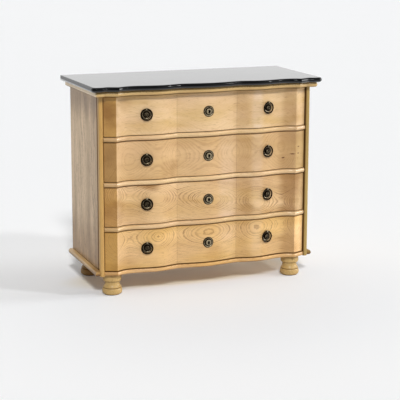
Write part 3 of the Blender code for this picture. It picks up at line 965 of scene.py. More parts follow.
def make_joint_group() -> bpy.types.NodeTree:
    """Make painted shade: a dark line along a joint, a groove or a crease, where shade falls.

    Returns:
        The group, with the painted shade as a mask. Faces that look straight along the joint's axis keep their colour
        by the share named Clear Faces.
    """
    tree, given, out = new_group(
        "joint_painted_shade",
        (
            ("Along", "NodeSocketFloat", 0.0),
            ("Joint", "NodeSocketFloat", 0.0),
            ("Reach", "NodeSocketFloat", 3.0 * MM),
            ("Facing", "NodeSocketFloat", 0.0),
            ("Clear Faces", "NodeSocketFloat", 0.0),
        ),
        (("Painted Shade", "NodeSocketFloat"),),
    )
    far = tree.math("ABSOLUTE", tree.math("SUBTRACT", given["Along"], given["Joint"]))
    near = tree.remap(far, tree.math("MULTIPLY", given["Reach"], 0.25), given["Reach"], 0.9, 0.0, smooth=True)
    faced = tree.remap(tree.math("ABSOLUTE", given["Facing"]), 0.70, 0.97, 0.0, 1.0, smooth=True)
    kept = tree.math("SUBTRACT", 1.0, tree.math("MULTIPLY", faced, given["Clear Faces"]))
    tree.feed(out["Painted Shade"], tree.math("MULTIPLY", near, kept))
    return tree.tree


@dataclass(frozen=True)
class OakGroups:
    """The shader groups that all oak shares."""

    figure: bpy.types.NodeTree
    stain_and_painted_light: bpy.types.NodeTree
    joint: bpy.types.NodeTree

    @classmethod
    def make(cls) -> "OakGroups":
        """Return the groups, built once."""
        return cls(make_figure_group(), make_stain_and_light_group(), make_joint_group())


def new_material(name: str) -> tuple[bpy.types.Material, Tree, bpy.types.Node]:
    """Make a material with a Principled shader.

    Args:
        name: The material's name.

    Returns:
        The material, its tree and its shader.
    """
    material = bpy.data.materials.new(name)
    material.use_nodes = True
    tree = Tree(material.node_tree)
    shader = tree.node("ShaderNodeBsdfPrincipled")
    output = tree.node("ShaderNodeOutputMaterial")
    tree.feed_all(output, {"Surface": shader.outputs["BSDF"]})
    return material, tree, shader


@dataclass(frozen=True)
class OakFinish:
    """Clear-lacquered oak: its colours and its gloss."""

    pale: Colour = (0.660, 0.440, 0.222)
    deep: Colour = (0.560, 0.340, 0.145)
    late: Colour = (0.210, 0.095, 0.025)
    rose: Colour = (0.640, 0.410, 0.230)
    # The colour of the painted shade along joints, grooves and creases.
    joint_shade: Colour = (0.105, 0.048, 0.016)
    late_share: float = 1.0
    pore_share: float = 0.22
    fleck_share: float = 0.25
    roughness: float = 0.42
    rougher: float = 0.05
    smoother: float = 0.03
    coat: float = 0.85
    coat_roughness: float = 0.30
    relief: float = 0.35
    relief_depth: float = 0.15 * MM


BROWN: Colour = (0.290, 0.145, 0.045)
INNER = OakFinish(
    pale=(0.640, 0.470, 0.280), deep=(0.560, 0.390, 0.210), late=(0.380, 0.240, 0.110), rose=(0.630, 0.450, 0.270),
    late_share=0.35, pore_share=0.30, roughness=0.60, coat=0.35,
)
UNDER_TOP = OakFinish(
    pale=(0.600, 0.415, 0.180), deep=(0.480, 0.305, 0.115), rose=(0.560, 0.385, 0.170), late_share=0.5, coat=0.60,
)
BOTTOM_RAIL = OakFinish(pale=(0.670, 0.400, 0.130), deep=(0.530, 0.285, 0.075), late_share=0.4, coat=0.9)
DIVIDER_NOSE = OakFinish(pale=(0.740, 0.535, 0.290), deep=(0.575, 0.370, 0.158), late_share=0.4, coat=1.0)
LEFT_PILASTER = OakFinish(
    pale=(0.540, 0.320, 0.092), deep=(0.450, 0.255, 0.065), rose=(0.520, 0.305, 0.095), late_share=0.35,
)
LEFT_MOULDING = OakFinish(
    pale=(0.620, 0.430, 0.200), deep=(0.500, 0.320, 0.130), rose=(0.600, 0.400, 0.190), late_share=0.35,
)
# Painted shade: the right pilaster and the right moulding take a darker copy of the left ones' oak.
RIGHT_TRIM_PAINTED_SHADE = OakFinish(
    pale=(0.410, 0.280, 0.085), deep=(0.340, 0.225, 0.060), rose=(0.400, 0.265, 0.085), late_share=0.35,
)
SIDE_PANEL = OakFinish(
    pale=(0.755, 0.545, 0.320), deep=(0.500, 0.336, 0.165), rose=(0.625, 0.440, 0.240), late_share=0.6,
    fleck_share=0.75,
)
FOOT = OakFinish(
    pale=(0.520, 0.352, 0.138), deep=(0.420, 0.268, 0.092), rose=(0.495, 0.330, 0.132), late_share=0.30,
    roughness=0.38, coat=0.45,
)


@dataclass(frozen=True)
class StainAndPaintedLight:
    """A tinted patch: its middle, how far it reaches along each axis, how strong it is. Some are the wood's own stains
    and cracks; others are painted shade, painted light and painted sheen.
    """

    middle: tuple[float, float, float]
    reach: tuple[float, float, float]
    share: float
    tint: Colour = (0.560, 0.450, 0.300)

    def spread(self) -> tuple[float, ...]:
        """Return how fast the patch fades along each axis, 0 where it runs through."""
        return tuple(1 / r if r else 0.0 for r in self.reach)


@dataclass(frozen=True)
class Plank:
    """One board's cut from the log, its finish, its stains and its painted light and shade.

    Shift slides the figure along the grain, and the pith is where the rings' middle lies across it. Past cut_end from
    the chest's middle, the face turns away: its two ends take their tints there, partly the wood's tone and partly
    painted light and shade, and the left one gains end_coat. A joint is an axis, a place along it and how far its
    painted shade reaches.
    """

    name: str
    grain: Grain = Grain.ALONG_X
    shift: float = 0.0
    pith: Point = (0.3, 0.0)
    ring: float = 2.6 * MM
    wander: float = 12.0 * MM
    slope: float = 0.0
    finish: OakFinish = OakFinish()
    cut_end: float = 0.0
    end_tints: tuple[Colour, Colour] = (PLAIN, PLAIN)
    end_coat: float = 0.0
    joints: tuple[tuple[str, float, float], ...] = ()
    clear_faces: float = 0.0
    stains_and_painted_light: tuple[StainAndPaintedLight, ...] = ()

    def material(self, groups: OakGroups) -> bpy.types.Material:
        """Make the board's own material.

        Args:
            groups: The groups that draw the figure, the stains and the joints.

        Returns:
            The material.
        """
        look = self.finish
        material, tree, shader = new_material(self.name)
        coordinates = tree.node("ShaderNodeTexCoord")
        place = coordinates.outputs["Object"]
        turn_x, turn_y, turn_z = self.grain.value
        mapping = tree.node("ShaderNodeMapping")
        tree.feed_all(mapping, {
            "Vector": place, "Rotation": (turn_x, turn_y + self.slope, turn_z),
            "Location": (self.shift, -self.pith[0], -self.pith[1]),
        })
        axes = tree.axes(place)
        facing = tree.axes(coordinates.outputs["Normal"])
        lines, ends = look.late_share, []
        if self.cut_end:
            for sign in SIDES.values():
                out = tree.math("MULTIPLY", axes["X"], float(sign))
                ends.append(tree.remap(out, self.cut_end - MM, self.cut_end + MM))
                lines = tree.math("MULTIPLY", lines, tree.remap(ends[-1], 0.0, 1.0, 1.0, 0.9))
        board = tree.place(groups.figure, {
            "Place": mapping.outputs["Vector"], "Ring": self.ring, "Wander": self.wander,
            "Pale Wood": look.pale, "Deep Wood": look.deep, "Late Wood": look.late, "Rose Wood": look.rose,
            "Late Share": lines, "Pore Share": look.pore_share, "Fleck Share": look.fleck_share,
        })
        colour = board["Color"]
        # The ends' tints: partly the wood's tone, partly painted light and shade on the faces that turn away.
        for end, tint in zip(ends, self.end_tints):
            colour = tree.stain_and_painted_light(end, colour, tint)
        for stain_and_painted_light in self.stains_and_painted_light:
            patch = tree.place(groups.stain_and_painted_light, {
                "Place": place, "Middle": stain_and_painted_light.middle, "Spread": stain_and_painted_light.spread(), "Ragged": board["Tone"],
                "Share": stain_and_painted_light.share,
            })
            colour = tree.stain_and_painted_light(patch["Mask"], colour, stain_and_painted_light.tint)
        coat = look.coat
        if self.end_coat:
            coat = tree.math("MULTIPLY_ADD", ends[0], self.end_coat, coat)
        rough = tree.remap(board["Tone"], 0, 1, look.roughness + look.rougher, look.roughness - look.smoother)
        # Painted shade along each joint, groove and crease: the colour darkens there, the coat fades and the surface
        # turns rough.
        for axis, joint, reach in self.joints:
            joint_shade = tree.place(groups.joint, {
                "Along": axes[axis], "Joint": joint, "Reach": reach, "Facing": facing[axis],
                "Clear Faces": self.clear_faces,
            })["Painted Shade"]
            colour = tree.blend(joint_shade, colour, look.joint_shade)
            coat = tree.math("MULTIPLY", tree.math("SUBTRACT", 1.0, joint_shade), coat)
            rough = tree.math("MAXIMUM", rough, joint_shade)
        raised, sunk = tree.math("MULTIPLY", board["Late"], 0.5), tree.math("MULTIPLY", board["Pores"], -1.0)
        tree.feed_all(shader, {
            "Base Color": colour, "Roughness": rough, "Coat Weight": coat, "Coat Roughness": look.coat_roughness,
            "Specular IOR Level": 0.0,
            "Normal": tree.bump(tree.math("ADD", raised, sunk), look.relief, look.relief_depth),
        })
        return material


@dataclass(frozen=True)
class BlackLacquer:
    """The top's polished black: two near blacks, and a coat that only its underside's curve shows."""

    colour: Colour = (0.0035, 0.0035, 0.004)
    cloudy: Colour = (0.006, 0.006, 0.0066)
    roughness: float = 0.07
    rougher: float = 0.035
    coat_roughness: float = 0.12
    coat_from: float = -0.35
    tint: Colour = (0.22, 0.22, 0.22)

    def material(self) -> bpy.types.Material:
        """Make the black, with the faint unevenness of a polished coat.

        Returns:
            The material.
        """
        material, tree, shader = new_material("black_lacquer")
        coordinates = tree.node("ShaderNodeTexCoord")
        cloud = tree.noise(coordinates.outputs["Object"], 6.0, 3.0).outputs["Fac"]
        skin = tree.noise(coordinates.outputs["Object"], 90.0, 2.0).outputs["Fac"]
        height = tree.axes(coordinates.outputs["Normal"])["Z"]
        tree.feed_all(shader, {
            "Base Color": tree.blend(cloud, self.colour, self.cloudy),
            "Roughness": tree.remap(cloud, 0.3, 0.7, self.roughness, self.roughness + self.rougher),
            "Coat Weight": tree.remap(height, 0.0, self.coat_from, smooth=True),
            "Coat Roughness": self.coat_roughness, "IOR": 1.45, "Specular Tint": self.tint,
            "Normal": tree.bump(skin, 0.03, 0.1 * MM),
        })
        return material


@dataclass(frozen=True)
class DarkBrass:
    """Antique brass: nearly black in its hollows, rubbed paler on its high points."""

    hollow: Colour = (0.012, 0.007, 0.003)
    rubbed: Colour = (0.285, 0.230, 0.140)
    hollow_metal: float = 0.95
    rubbed_metal: float = 0.5
    smooth: float = 0.30
    rough: float = 0.46

    def material(self) -> bpy.types.Material:
        """Make the brass, whose wear follows the piece's own rub attribute.

        Returns:
            The material.
        """
        material, tree, shader = new_material("dark_brass")
        coordinates = tree.node("ShaderNodeTexCoord")
        rubbing = tree.node("ShaderNodeAttribute", attribute_name="rub")
        spots = tree.noise(coordinates.outputs["Object"], 260.0, 4.0, 0.6).outputs["Fac"]
        uneven = tree.math("ADD", rubbing.outputs["Fac"], tree.remap(spots, 0.3, 0.7, -0.25, 0.25))
        tone_marks = tree.remap(uneven, 0.35, 1.0, smooth=True)
        tree.feed_all(shader, {
            "Base Color": tree.blend(tone_marks, self.hollow, self.rubbed),
            "Metallic": tree.remap(tone_marks, 0, 1, self.hollow_metal, self.rubbed_metal),
            "Roughness": tree.remap(spots, 0.3, 0.7, self.smooth, self.rough),
            "Normal": tree.bump(spots, 0.15, 0.1 * MM),
        })
        return material


def dress(piece: bpy.types.Object, material: bpy.types.Material) -> None:
    """Give a new piece its one material."""
    piece.data.materials.clear()
    piece.data.materials.append(material)


def dress_node(name: str, material: bpy.types.Material) -> None:
    """Give a node of the frame a finish, by its material slots alone.

    Args:
        name: The node's name.
        material: The finish.
    """
    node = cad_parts[name]
    if not node.material_slots:
        node.data.materials.append(material)
    for holder in node.material_slots:
        holder.material = material
    log.info("%s is dressed in %s", name, material.name)


@dataclass
class Top:
    """The black slab and the wooden board under it, both eared and with a rounded edge."""

    wave: Wave
    case_half: float
    groups: OakGroups
    nose: float = 10.5 * MM
    nose_steps: int = 7
    end_turn: float = 4.5 * MM
    # Painted reflection: the left end's rounded edge is tinted paler and bluer, for the sheen of a bright wall seen at
    # a grazing angle.
    left_end_painted_light: Colour = (1.43, 1.62, 2.30)

    def board(self, node: str) -> bpy.types.Object:
        """Make one of the two boards in its node's place.

        Args:
            node: The node it replaces.

        Returns:
            The finished board.
        """
        low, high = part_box(node)
        front_overhang = self.wave.front_plane - self.wave.ridge_rise - low.y
        line = eared_line(self.wave, self.case_half, front_overhang, high.x - self.case_half)
        board = WavyBoard(f"{node}_fine", line, high.y, low.z, high.z, self.wave)
        piece = board.rough()
        piece.pick(Kind.EDGES, board.is_rim)
        piece.bevel(self.nose, self.nose_steps)
        board.crisp_creases(piece, 0.0)
        return piece.finish(BOARD_SMOOTH)

    def build(self) -> None:
        """Make both boards and put them on the case."""
        slab = self.board("top_slab")
        dress(slab, BlackLacquer().material())
        install(slab, "case", Slot.BLACK_TOP, "top_slab")
        under = self.board("under_top_board")
        low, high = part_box("under_top_board")
        # The left end's tint is a painted reflection, and a line of painted shade runs along the board's underside.
        plank = Plank(
            "oak_under_top", shift=1.7, pith=(0.25, 0.70), ring=3.2 * MM, finish=UNDER_TOP,
            cut_end=high.x - self.end_turn, end_tints=(self.left_end_painted_light, PLAIN), end_coat=0.4,
            joints=(("Z", low.z, 3.5 * MM),),
        )
        dress(under, plank.material(self.groups))
        install(under, "case", Slot.OAK, "under_top_board")


@dataclass
class DustBoards:
    """The boards between the drawers and the one under them, with their waved noses."""

    wave: Wave
    groups: OakGroups
    proud: float = 7.0 * MM
    nose: float = 8.5 * MM
    nose_steps: int = 6
    gap: float = 0.3 * MM
    # Painted shade, with a more golden tone, on the noses' left ends, which turn from the light.
    left_end_painted_light: Colour = (0.78, 0.72, 0.58)
    # Painted shade: darker along the base board's lower front edge, a line along its top, and lines at the dividers'
    # ends by the pilasters.
    rail_shade: Colour = (0.45, 0.34, 0.22)
    rail_shade_deep: float = 30 * MM
    rail_shade_tall: float = 7 * MM
    rail_top_shade: float = 2.5 * MM
    end_shade: float = 3.0 * MM

    def master(self) -> bpy.types.Object:
        """Make the lowest board, with a tongue along each side behind the pilasters.

        Returns:
            The board, which the dividers are copied from.
        """
        low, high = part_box("base_board")
        pilaster_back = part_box("pilaster_left")[1].y
        half = self.wave.inner_half - self.gap
        line = both_halves(self.wave.front(half / self.wave.inner_half, self.proud))
        board = WavyBoard("base_board_fine", line, high.y, low.z, high.z, self.wave)
        piece = board.rough()
        tongue_y = pilaster_back + 2 * self.gap
        piece.bisect((0, tongue_y, 0), (0, 1, 0))
        for sign in SIDES.values():
            piece.pick(
                Kind.FACES,
                lambda face: face.normal.x * sign > FACING and face.calc_center_median().y > tongue_y,
            )
            piece.extrude((sign * (high.x - half), 0, 0))
        nose_limit = self.wave.front_plane + self.wave.cant_back
        piece.pick(
            Kind.EDGES,
            lambda edge: board.is_rim(edge)
            and all(v.co.y < nose_limit for v in edge.verts)
            and run(edge) > 0.1 * MM,
        )
        piece.bevel(self.nose, self.nose_steps)
        board.crisp_creases(piece, self.wave.cant_back)
        return piece.finish(BOARD_SMOOTH)

    def build(self) -> None:
        """Make the base board and a copy of it for each divider."""
        base = self.master()
        shared = {
            "ring": 3.0 * MM, "cut_end": self.wave.ridge_share * self.wave.inner_half,
            "end_tints": (self.left_end_painted_light, PLAIN),
        }
        low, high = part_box("base_board")
        reach = (0.0, self.rail_shade_deep, self.rail_shade_tall)
        plank = Plank(
            "oak_base_board", shift=0.4, pith=(0.2, -0.25), finish=BOTTOM_RAIL,
            joints=(("Z", high.z, self.rail_top_shade),),
            stains_and_painted_light=(StainAndPaintedLight((0.0, low.y, low.z), reach, 1.0, self.rail_shade),), **shared,
        )
        dress(base, plank.material(self.groups))
        install(base, "case", Slot.OAK, "base_board")
        joints = tuple(("X", sign * self.wave.inner_half, self.end_shade) for sign in SIDES.values())
        for number, node in enumerate(("divider_lower", "divider_middle", "divider_upper"), start=1):
            divider = copy_of(base, f"{node}_fine", Matrix.Translation((0, 0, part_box(node)[0].z - low.z)))
            plank = Plank(
                f"oak_{node}", shift=0.9 * number, pith=(0.2 + 0.05 * number, -0.2), finish=DIVIDER_NOSE,
                joints=joints, **shared,
            )
            dress(divider, plank.material(self.groups))
            install(divider, "case", Slot.OAK, node)


@dataclass
class Sides:
    """The side panels, the pilasters in front of them and the mouldings at their feet."""

    groups: OakGroups
    pilaster_round: float = 8.0 * MM
    moulding_round: float = 11.7 * MM
    round_steps: int = 8
    inner_shade: float = 3.5 * MM
    back_shade: float = 15 * MM
    under_shade: float = 16 * MM
    under_tint: Colour = (0.440, 0.340, 0.210)
    panel_tint: Colour = (0.560, 0.440, 0.260)

    def pilaster(self) -> bpy.types.Object:
        """Make the right pilaster, round at its two front edges.

        Returns:
            The pilaster.
        """
        low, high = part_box("pilaster_right")
        piece = Workpiece.block("pilaster_right_fine", low, high)
        piece.pick(Kind.EDGES, lambda edge: at_depth(edge, low.y) and rise(edge) > MM)
        piece.bevel(self.pilaster_round, self.round_steps)
        return piece.finish(MOULDED_SMOOTH)

    def moulding(self) -> bpy.types.Object:
        """Make the right base moulding, round along its outer side and its front end.

        Returns:
            The moulding.
        """
        low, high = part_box("base_moulding_right")
        piece = Workpiece.block("base_moulding_right_fine", low, high)

        def outer(edge: bmesh.types.BMEdge) -> bool:
            """Say whether an edge is level, away from the wall and not at the back."""
            off_wall = any(v.co.x > low.x + ON_PLANE for v in edge.verts)
            return rise(edge) < ON_PLANE and off_wall and not at_depth(edge, high.y)

        piece.pick(Kind.EDGES, outer)
        piece.bevel(self.moulding_round, self.round_steps)
        return piece.finish(MOULDED_SMOOTH)

    def build(self) -> None:
        """Make the pairs and dress the panels that stay."""
        mirror = Matrix.Diagonal((-1, 1, 1, 1))
        low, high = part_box("pilaster_right")
        # Painted shade along the right pilaster's inner edge and along the backs of the pilasters.
        inner = ("X", low.x, self.inner_shade)
        behind = ("Y", high.y, self.back_shade)
        low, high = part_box("base_moulding_right")
        # The mouldings darken towards their front ends, and painted shade darkens their undersides.
        tone_marks = (
            StainAndPaintedLight((0.0, low.y, 0.0), (0.0, 0.16, 0.0), 0.8),
            StainAndPaintedLight((0.0, 0.0, low.z), (0.0, 0.0, self.under_shade), 1.0, self.under_tint),
        )
        pairs = (
            ("pilaster", self.pilaster(), Grain.ALONG_Z, LEFT_PILASTER, (behind,), ()),
            ("base_moulding", self.moulding(), Grain.ALONG_Y, LEFT_MOULDING, (), tone_marks),
        )
        for name, right, grain, left_finish, joints, stains_and_painted_light in pairs:
            left = copy_of(right, f"{name}_left_fine", mirror)
            for side, piece, shift, finish, beside in (
                ("right", right, 1.9, RIGHT_TRIM_PAINTED_SHADE, (inner,)), ("left", left, 0.7, left_finish, ()),
            ):
                plank = Plank(
                    f"oak_{name}_{side}", grain, shift, (0.25, 0.2), 3.0 * MM, finish=finish, joints=beside + joints,
                    stains_and_painted_light=stains_and_painted_light,
                )
                dress(piece, plank.material(self.groups))
                install(piece, "case", Slot.OAK, f"{name}_{side}")
        moulding_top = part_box("base_moulding_left")[1].z
        for side, sign in SIDES.items():
            low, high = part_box(f"side_panel_{side}")
            # Painted shade along the panel's front edge and above the moulding; the panel also darkens towards its
            # bottom, its top and its front.
            plank = Plank(
                f"oak_side_panel_{side}", Grain.ALONG_Z, 0.3 * sign, (-0.05, 0.62 * sign), 4.5 * MM, 26 * MM,
                finish=SIDE_PANEL, joints=(("Y", low.y, 6 * MM), ("Z", moulding_top, 3 * MM)),
                stains_and_painted_light=(
                    StainAndPaintedLight((0.0, 0.0, moulding_top), (0.0, 0.0, 0.26), 0.85, self.panel_tint),
                    StainAndPaintedLight((0.0, 0.0, high.z), (0.0, 0.0, 0.16), 0.70),
                    StainAndPaintedLight((0.0, low.y, 0.0), (0.0, 0.16, 0.0), 0.40),
                ),
            )
            dress_node(f"side_panel_{side}", plank.material(self.groups))
        back = Plank("oak_back_panel", Grain.ALONG_Z, 2.4, (0.5, 0.1), 5.0 * MM, 40 * MM, finish=INNER)
        dress_node("back_panel", back.material(self.groups))


@dataclass
class Feet:
    """The four turned feet: a collar, a cove, a groove and a swelling base.

    The profile is in shares of a foot's largest radius and of its height.
    """

    groups: OakGroups
    sides: int = 48
    seam: float = 0.3 * MM
    pith_aside: Point = (0.03, -0.02)
    profile: tuple[Turn, ...] = (
        Turn(0.905, 1.000, 0.08), Turn(0.937, 0.800, 0.10), Turn(0.925, 0.700, 0.30), Turn(0.885, 0.665),
        Turn(0.800, 0.652, -0.30), Turn(0.775, 0.632, -0.10), Turn(0.748, 0.540, -0.10), Turn(0.800, 0.450, -0.06),
        Turn(0.915, 0.368, 0.50), Turn(0.912, 0.345), Turn(0.888, 0.336, -0.50), Turn(0.895, 0.322),
        Turn(0.930, 0.312, 0.12), Turn(1.000, 0.180, 0.18), Turn(0.955, 0.070, 0.25), Turn(0.850, 0.035),
        Turn(0.800, 0.022), Turn(0.795, 0.000),
    )

    def dark_lines(self, height: float) -> tuple[tuple[str, float, float], ...]:
        """Return the grooves and joints round a foot, where painted shade darkens the finish."""
        shares = ((1.0, 3.6), (0.66, 2.4), (0.336, 2.4), (0.0, 5.5))
        return tuple(("Z", share * height, reach * MM) for share, reach in shares)

    def build(self) -> None:
        """Turn one foot and stand a copy of it in each foot's place."""
        low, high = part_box("foot_front_left")
        radius = (high.x - low.x) / 2
        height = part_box("base_board")[0].z - self.seam
        master = turned("foot_master", sized(self.profile, radius, height), self.sides).finish(TURNED_SMOOTH)
        for number, place in enumerate(("front_left", "front_right", "rear_left", "rear_right")):
            low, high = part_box(f"foot_{place}")
            centre = (low + high) / 2
            foot = copy_of(master, f"foot_{place}_fine", Matrix.Translation((centre.x, centre.y, 0)))
            # Painted shade: the rear feet, under the chest, are darker all over.
            rear_foot_painted_shade = StainAndPaintedLight((centre.x, low.y, 0.5 * height), (0.0, 0.0, 0.0), 0.75)
            pith = (centre.y + self.pith_aside[0], -centre.x + self.pith_aside[1])
            plank = Plank(
                f"oak_foot_{place}", Grain.ALONG_Z, 0.5 * number, pith, 2.6 * MM, 6 * MM, finish=FOOT,
                joints=self.dark_lines(height), stains_and_painted_light=(rear_foot_painted_shade,) if "rear" in place else (),
            )
            dress(foot, plank.material(self.groups))
            install(foot, "case", Slot.OAK, f"foot_{place}")
        bpy.data.objects.remove(master)


@dataclass
class Pull:
    """A pull's plate with its eye, and the ring that hangs in it, modelled about the seat.

    The profile is in shares of the plate's radius and height. The wear says how rubbed the plate is at a share of
    its radius from the middle.
    """

    wave: Wave
    across: float = 0.598
    seat_depth: float = 1.2 * MM
    gap: float = 0.3 * MM
    plate_radius: float = 21.5 * MM
    plate_height: float = 10.0 * MM
    ring_radius: float = 24.6 * MM
    wire_radius: float = 3.2 * MM
    standoff: float = 7.0 * MM
    eye_width: float = 7.0 * MM
    eye_clearance: float = 0.7 * MM
    eye_wall: float = 1.6 * MM
    eye_round: float = 0.7 * MM
    flattened: float = 1.12
    profile: tuple[Turn, ...] = (
        Turn(0.03, 0.98, -0.2), Turn(0.13, 1.00, 0.35), Turn(0.36, 0.86, 0.25), Turn(0.44, 0.58), Turn(0.455, 0.20),
        Turn(0.53, 0.16, -0.10), Turn(0.83, 0.37, 0.35), Turn(0.93, 0.36, 0.40), Turn(0.985, 0.18), Turn(1.0, 0.13),
        Turn(1.0, 0.0),
    )
    wear: tuple[Point, ...] = (
        (0.0, 0.45), (0.3, 0.45), (0.42, 0.7), (0.46, 0.0), (0.66, 0.0), (0.74, 0.5), (0.86, 0.75), (0.95, 0.1),
        (1.01, 0.0), (1.05, 0.8), (2.0, 0.8),
    )

    def eye_centre(self) -> Vector:
        """Return the eye's middle in the plate's frame, whose Z stands out of the face."""
        return Vector((0, self.ring_radius, self.standoff + self.seat_depth - self.gap))

    def plate(self) -> bpy.types.Object:
        """Turn the rosette and fit its neck and eye.

        Returns:
            The plate, facing up at the origin.
        """
        shape = sized(self.profile, self.plate_radius, self.plate_height)
        plate = turned("pull_plate_master", shape, PLATE_SIDES, PLATE_STEPS).finish(TURNED_SMOOTH)
        centre = self.eye_centre()
        hole_radius = self.wire_radius + self.eye_clearance
        outer = hole_radius + self.eye_wall
        half = self.eye_width / 2
        neck = Workpiece.block(
            "neck", (-half, centre.y - outer, self.seat_depth), (half, centre.y + hole_radius, centre.z)
        ).finish()
        combine(plate, neck, "UNION")
        place = Matrix.Translation(centre) @ Matrix.Rotation(math.pi / 2, 4, "Y")
        eye = Workpiece.cylinder("eye", outer, self.eye_width, HOLE_SIDES, place)
        eye.pick(Kind.EDGES, lambda edge: edge.calc_face_angle(0) > SQUARE_TURN)
        eye.bevel(self.eye_round, 3)
        combine(plate, eye.finish(MOULDED_SMOOTH), "UNION")
        hole = Workpiece.cylinder("hole", hole_radius, 3 * self.eye_width, HOLE_SIDES, place).finish()
        combine(plate, hole, "DIFFERENCE")
        return plate

    def ring(self) -> bpy.types.Object:
        """Make the ring, hanging from its own origin.

        Returns:
            The ring.
        """
        clear_bench()
        bpy.ops.mesh.primitive_torus_add(
            major_radius=self.ring_radius, minor_radius=self.wire_radius, major_segments=72, minor_segments=16
        )
        piece = Workpiece("pull_ring_master")
        low_band = -0.80 * self.ring_radius
        piece.pick(Kind.VERTICES, lambda vertex: vertex.co.y < low_band)
        piece.resize((1.0, 1.0, self.flattened), (0, 0, 0))
        piece.pick_all()
        piece.move((0, -self.ring_radius, 0))
        return piece.finish(WIRE_SMOOTH)

    def frame_at(self, sign: int, height: float) -> Matrix:
        """Return the seat's frame: X across, Y up and Z out of the face.

        Args:
            sign: -1 for the left pull and 1 for the right one.
            height: The height of the pull's middle.

        Returns:
            The matrix.
        """
        x = sign * self.across * self.wave.inner_half
        turn = self.wave.turn_at(x)
        spot = Vector((x, self.wave.depth(x) + self.wave.front_plane, height))
        inward = Vector((-math.sin(turn), math.cos(turn), 0))
        spot += inward * (self.seat_depth - self.gap)
        return Matrix.Translation(spot) @ Matrix.Rotation(turn, 4, "Z") @ Matrix.Rotation(math.pi / 2, 4, "X")


def rub(piece: bpy.types.Object, radius: float, wear: Sequence[Point], keyhole: float = 0.0) -> None:
    """Write how rubbed each point is, by its distance from the axis.

    Args:
        piece: A piece that still faces up at the origin.
        radius: The piece's radius.
        wear: Shares of the radius and how rubbed the piece is there, from the middle out.
        keyhole: Nearer to the axis than this share, only the top is rubbed.
    """
    layer = piece.data.attributes.new("rub", "FLOAT", "POINT")
    top = max(vertex.co.z for vertex in piece.data.vertices)
    wear = [(share * radius, amount) for share, amount in wear]
    for vertex, value in zip(piece.data.vertices, layer.data):
        away = vertex.co.xy.length
        if away < keyhole * radius and vertex.co.z < 0.8 * top:
            value.value = 0.0
            continue
        value.value = wear[-1][1]
        for (near, first), (far, second) in zip(wear, wear[1:]):
            if near <= away < far:
                value.value = first + (second - first) * (away - near) / (far - near)


@dataclass
class Escutcheon:
    """The round key plate: a beaded rim, a dish and a raised boss round its keyhole.

    Its profile and wear are in shares, as a pull's are. Nearer to the axis than the keyhole's share of the radius,
    only the top is rubbed.
    """

    radius: float = 25.0 * MM
    height: float = 8.0 * MM
    hole_radius: float = 3.8 * MM
    slot_width: float = 5.4 * MM
    slot_length: float = 13.6 * MM
    hole_depth: float = 6.5 * MM
    slot_flare: float = 1.15
    keyhole: float = 0.45
    profile: tuple[Turn, ...] = (
        Turn(0.03, 1.00), Turn(0.40, 1.00, 0.40), Turn(0.505, 0.80), Turn(0.520, 0.30, -0.35), Turn(0.600, 0.24),
        Turn(0.700, 0.24, -0.20), Turn(0.780, 0.38, 0.50), Turn(0.945, 0.36, 0.30), Turn(0.995, 0.16),
        Turn(1.0, 0.10), Turn(1.0, 0.0),
    )
    wear: tuple[Point, ...] = (
        (0.0, 0.2), (0.20, 0.25), (0.29, 1.0), (0.40, 1.2), (0.5, 0.75), (0.53, 0.1), (0.65, 0.5), (0.8, 0.85),
        (0.88, 0.5), (0.97, 0.2), (1.0, 0.0),
    )

    def plate(self) -> bpy.types.Object:
        """Turn the plate and cut the keyhole.

        Returns:
            The plate, facing up at the origin.
        """
        shape = sized(self.profile, self.radius, self.height)
        plate = turned("escutcheon_master", shape, PLATE_SIDES, PLATE_STEPS).finish(TURNED_SMOOTH)
        floor = self.height - self.hole_depth
        depth = 3 * self.height
        place = Matrix.Translation((0, self.hole_radius, floor + depth / 2))
        bow = Workpiece.cylinder("bow", self.hole_radius, depth, HOLE_SIDES, place).finish()
        combine(plate, bow, "DIFFERENCE")
        half = self.slot_width / 2
        slot = Workpiece.block(
            "slot",
            (-half, self.hole_radius - self.slot_length, floor - LEVEL),
            (half, self.hole_radius, floor + depth),
        )
        slot.pick(Kind.VERTICES, lambda vertex: vertex.co.y < 0)
        slot.resize((self.slot_flare, 1, 1), (0, 0, 0))
        combine(plate, slot.finish(), "DIFFERENCE")
        return plate


@dataclass(frozen=True)
class Patch:
    """A darker patch on a drawer's front. One that runs right through from top to bottom is painted shade, with some of
    the wood's own darkening, on a slope that turns from the light; the others darken the wood in places.

    Its middle is a share of the half width from the chest's middle, and some quarters of the drawers' pitch above
    the front's middle. It reaches wide metres to the sides and tall metres up and down, or right through where that
    is 0.
    """

    across: float
    quarters: float
    wide: float
    tall: float
    strength: float


@dataclass(frozen=True)
class FrontCut:
    """One drawer front's cut and wear.

    Depth and rise place the pith behind the pilasters' front plane and above the front's middle. The tints are those of
    its left and right ends, partly the wood's tone and partly painted light and shade. Two strengths give the painted
    sheen of the paler, cooler bands beside the middle and on the wave's peak.
    peak are.
    """

    finish: OakFinish
    shift: float
    depth: float
    rise: float
    ring: float
    wander: float
    slope: float
    end_tints: tuple[Colour, Colour]
    sheen_strength: tuple[float, float]
    patches: tuple[Patch, ...]
